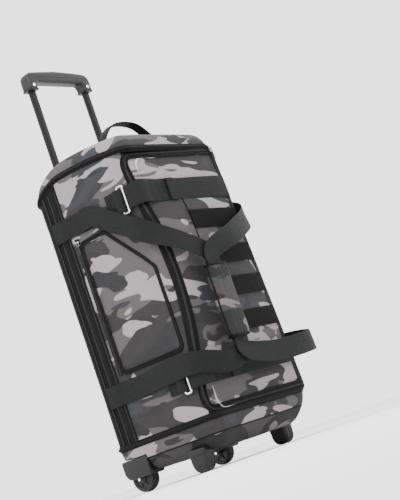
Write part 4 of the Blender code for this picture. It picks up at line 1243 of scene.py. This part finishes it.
def feet():
    """The moulded feet, as (height, share of the foot's full size) from the sole to the flange."""
    sole = [(0.0, 0.34), (0.0008, 0.48), (0.003, 0.63)]
    wall = [(0.007, 0.76), (0.013, 0.86), (0.020, 0.91), (0.034, 0.93)]
    flange = [(0.0362, 0.945), (0.0366, 0.985), (0.0374, 1.0), (0.0470, 1.0), (0.0488, 0.985), (0.0495, 0.95)]
    for name, _ in SIDES:
        low, high = from_middle(f"front_foot_{name}")
        centre, half = (low + high) / 2, (high - low) / 2
        rings = []
        for z, share in [*sole, *wall, *flange]:
            outline = rectangle(half.x * share, half.y * share, 0.0075 * share, 7)
            rings.append([Vector((centre.x + p.x, centre.y + p.y, z)) for p in outline])
        parts = [loft(rings)]
        for u in (-0.6, 0.0, 0.6):
            for v in (-1, 1):
                line = []
                for z, share in wall:
                    line.append(Vector((centre.x + u * half.x * share, centre.y + v * half.y * share, z)))
                parts.append(cord(line, 0.0012))
        add(f"{name}_foot", join(parts), "plastic", "bag", [f"front_foot_{name}"], soft=False)


# ---- studio -----------------------------------------------------------------------------------------
def lamp(name, place, size, power):
    data = bpy.data.lights.new(name, "AREA")
    data.shape = "DISK"
    data.size = size
    data.energy = power
    made = bpy.data.objects.new(name, data)
    made.location = place
    made.rotation_euler = (LAMP_AIM - Vector(place)).to_track_quat("-Z", "Y").to_euler()
    bpy.context.scene.collection.objects.link(made)


def studio():
    mesh = bmesh.new()
    bmesh.ops.create_circle(mesh, cap_ends=True, radius=40.0, segments=96)
    data = bpy.data.meshes.new("floor")
    mesh.to_mesh(data)
    mesh.free()
    floor = bpy.data.objects.new("floor", data)
    floor.location.z = -0.0005
    bpy.context.scene.collection.objects.link(floor)
    paint = bpy.data.materials.new("floor_paint")
    paint.use_nodes = True
    shader = paint.node_tree.nodes["Principled BSDF"]
    shader.inputs["Base Color"].default_value = (0.86, 0.86, 0.865, 1.0)
    shader.inputs["Roughness"].default_value = 1.0
    shader.inputs["Specular IOR Level"].default_value = 0.0
    data.materials.append(paint)

    world = bpy.data.worlds.new("studio")
    world.use_nodes = True
    background = world.node_tree.nodes["Background"]
    background.inputs["Color"].default_value = (0.98, 0.98, 0.985, 1.0)
    background.inputs["Strength"].default_value = 2.7
    bpy.context.scene.world = world

    lamp("key", (-1.5, -1.3, 2.3), 0.9, 70.0)
    lamp("side", (-2.6, 0.9, 1.0), 1.0, 14.0)


def camera():
    data = bpy.data.cameras.new("camera")
    data.lens = CAMERA_LENS
    made = bpy.data.objects.new("camera", data)
    way = (CAMERA_AIM - CAMERA_PLACE).normalized()
    level = (UP - way * way.z).normalized()
    up = level * math.cos(CAMERA_ROLL) + way.cross(level) * math.sin(CAMERA_ROLL)
    axes = Matrix((way.cross(up), up, -way)).transposed().to_4x4()
    made.matrix_world = Matrix.Translation(CAMERA_PLACE + MIDDLE) @ axes
    bpy.context.scene.collection.objects.link(made)
    bpy.context.scene.camera = made


def build():
    camera()
    studio()
    finish_cad_nodes()
    for name, sign in SIDES:
        side_cloth(name, sign)
    back_cloth()
    top_end()
    wheel_end()
    piping()
    opening_rim()
    compartment_lining()
    lid_cloths()
    lid_zip()
    hinge_strip()
    webbing_rows()
    compression_straps()
    pockets()
    pull_tabs()
    sewn_webbing()
    carry_handles()
    wrap()
    grab_handle()
    grip()
    wheels()
    housings()
    feet()


build()
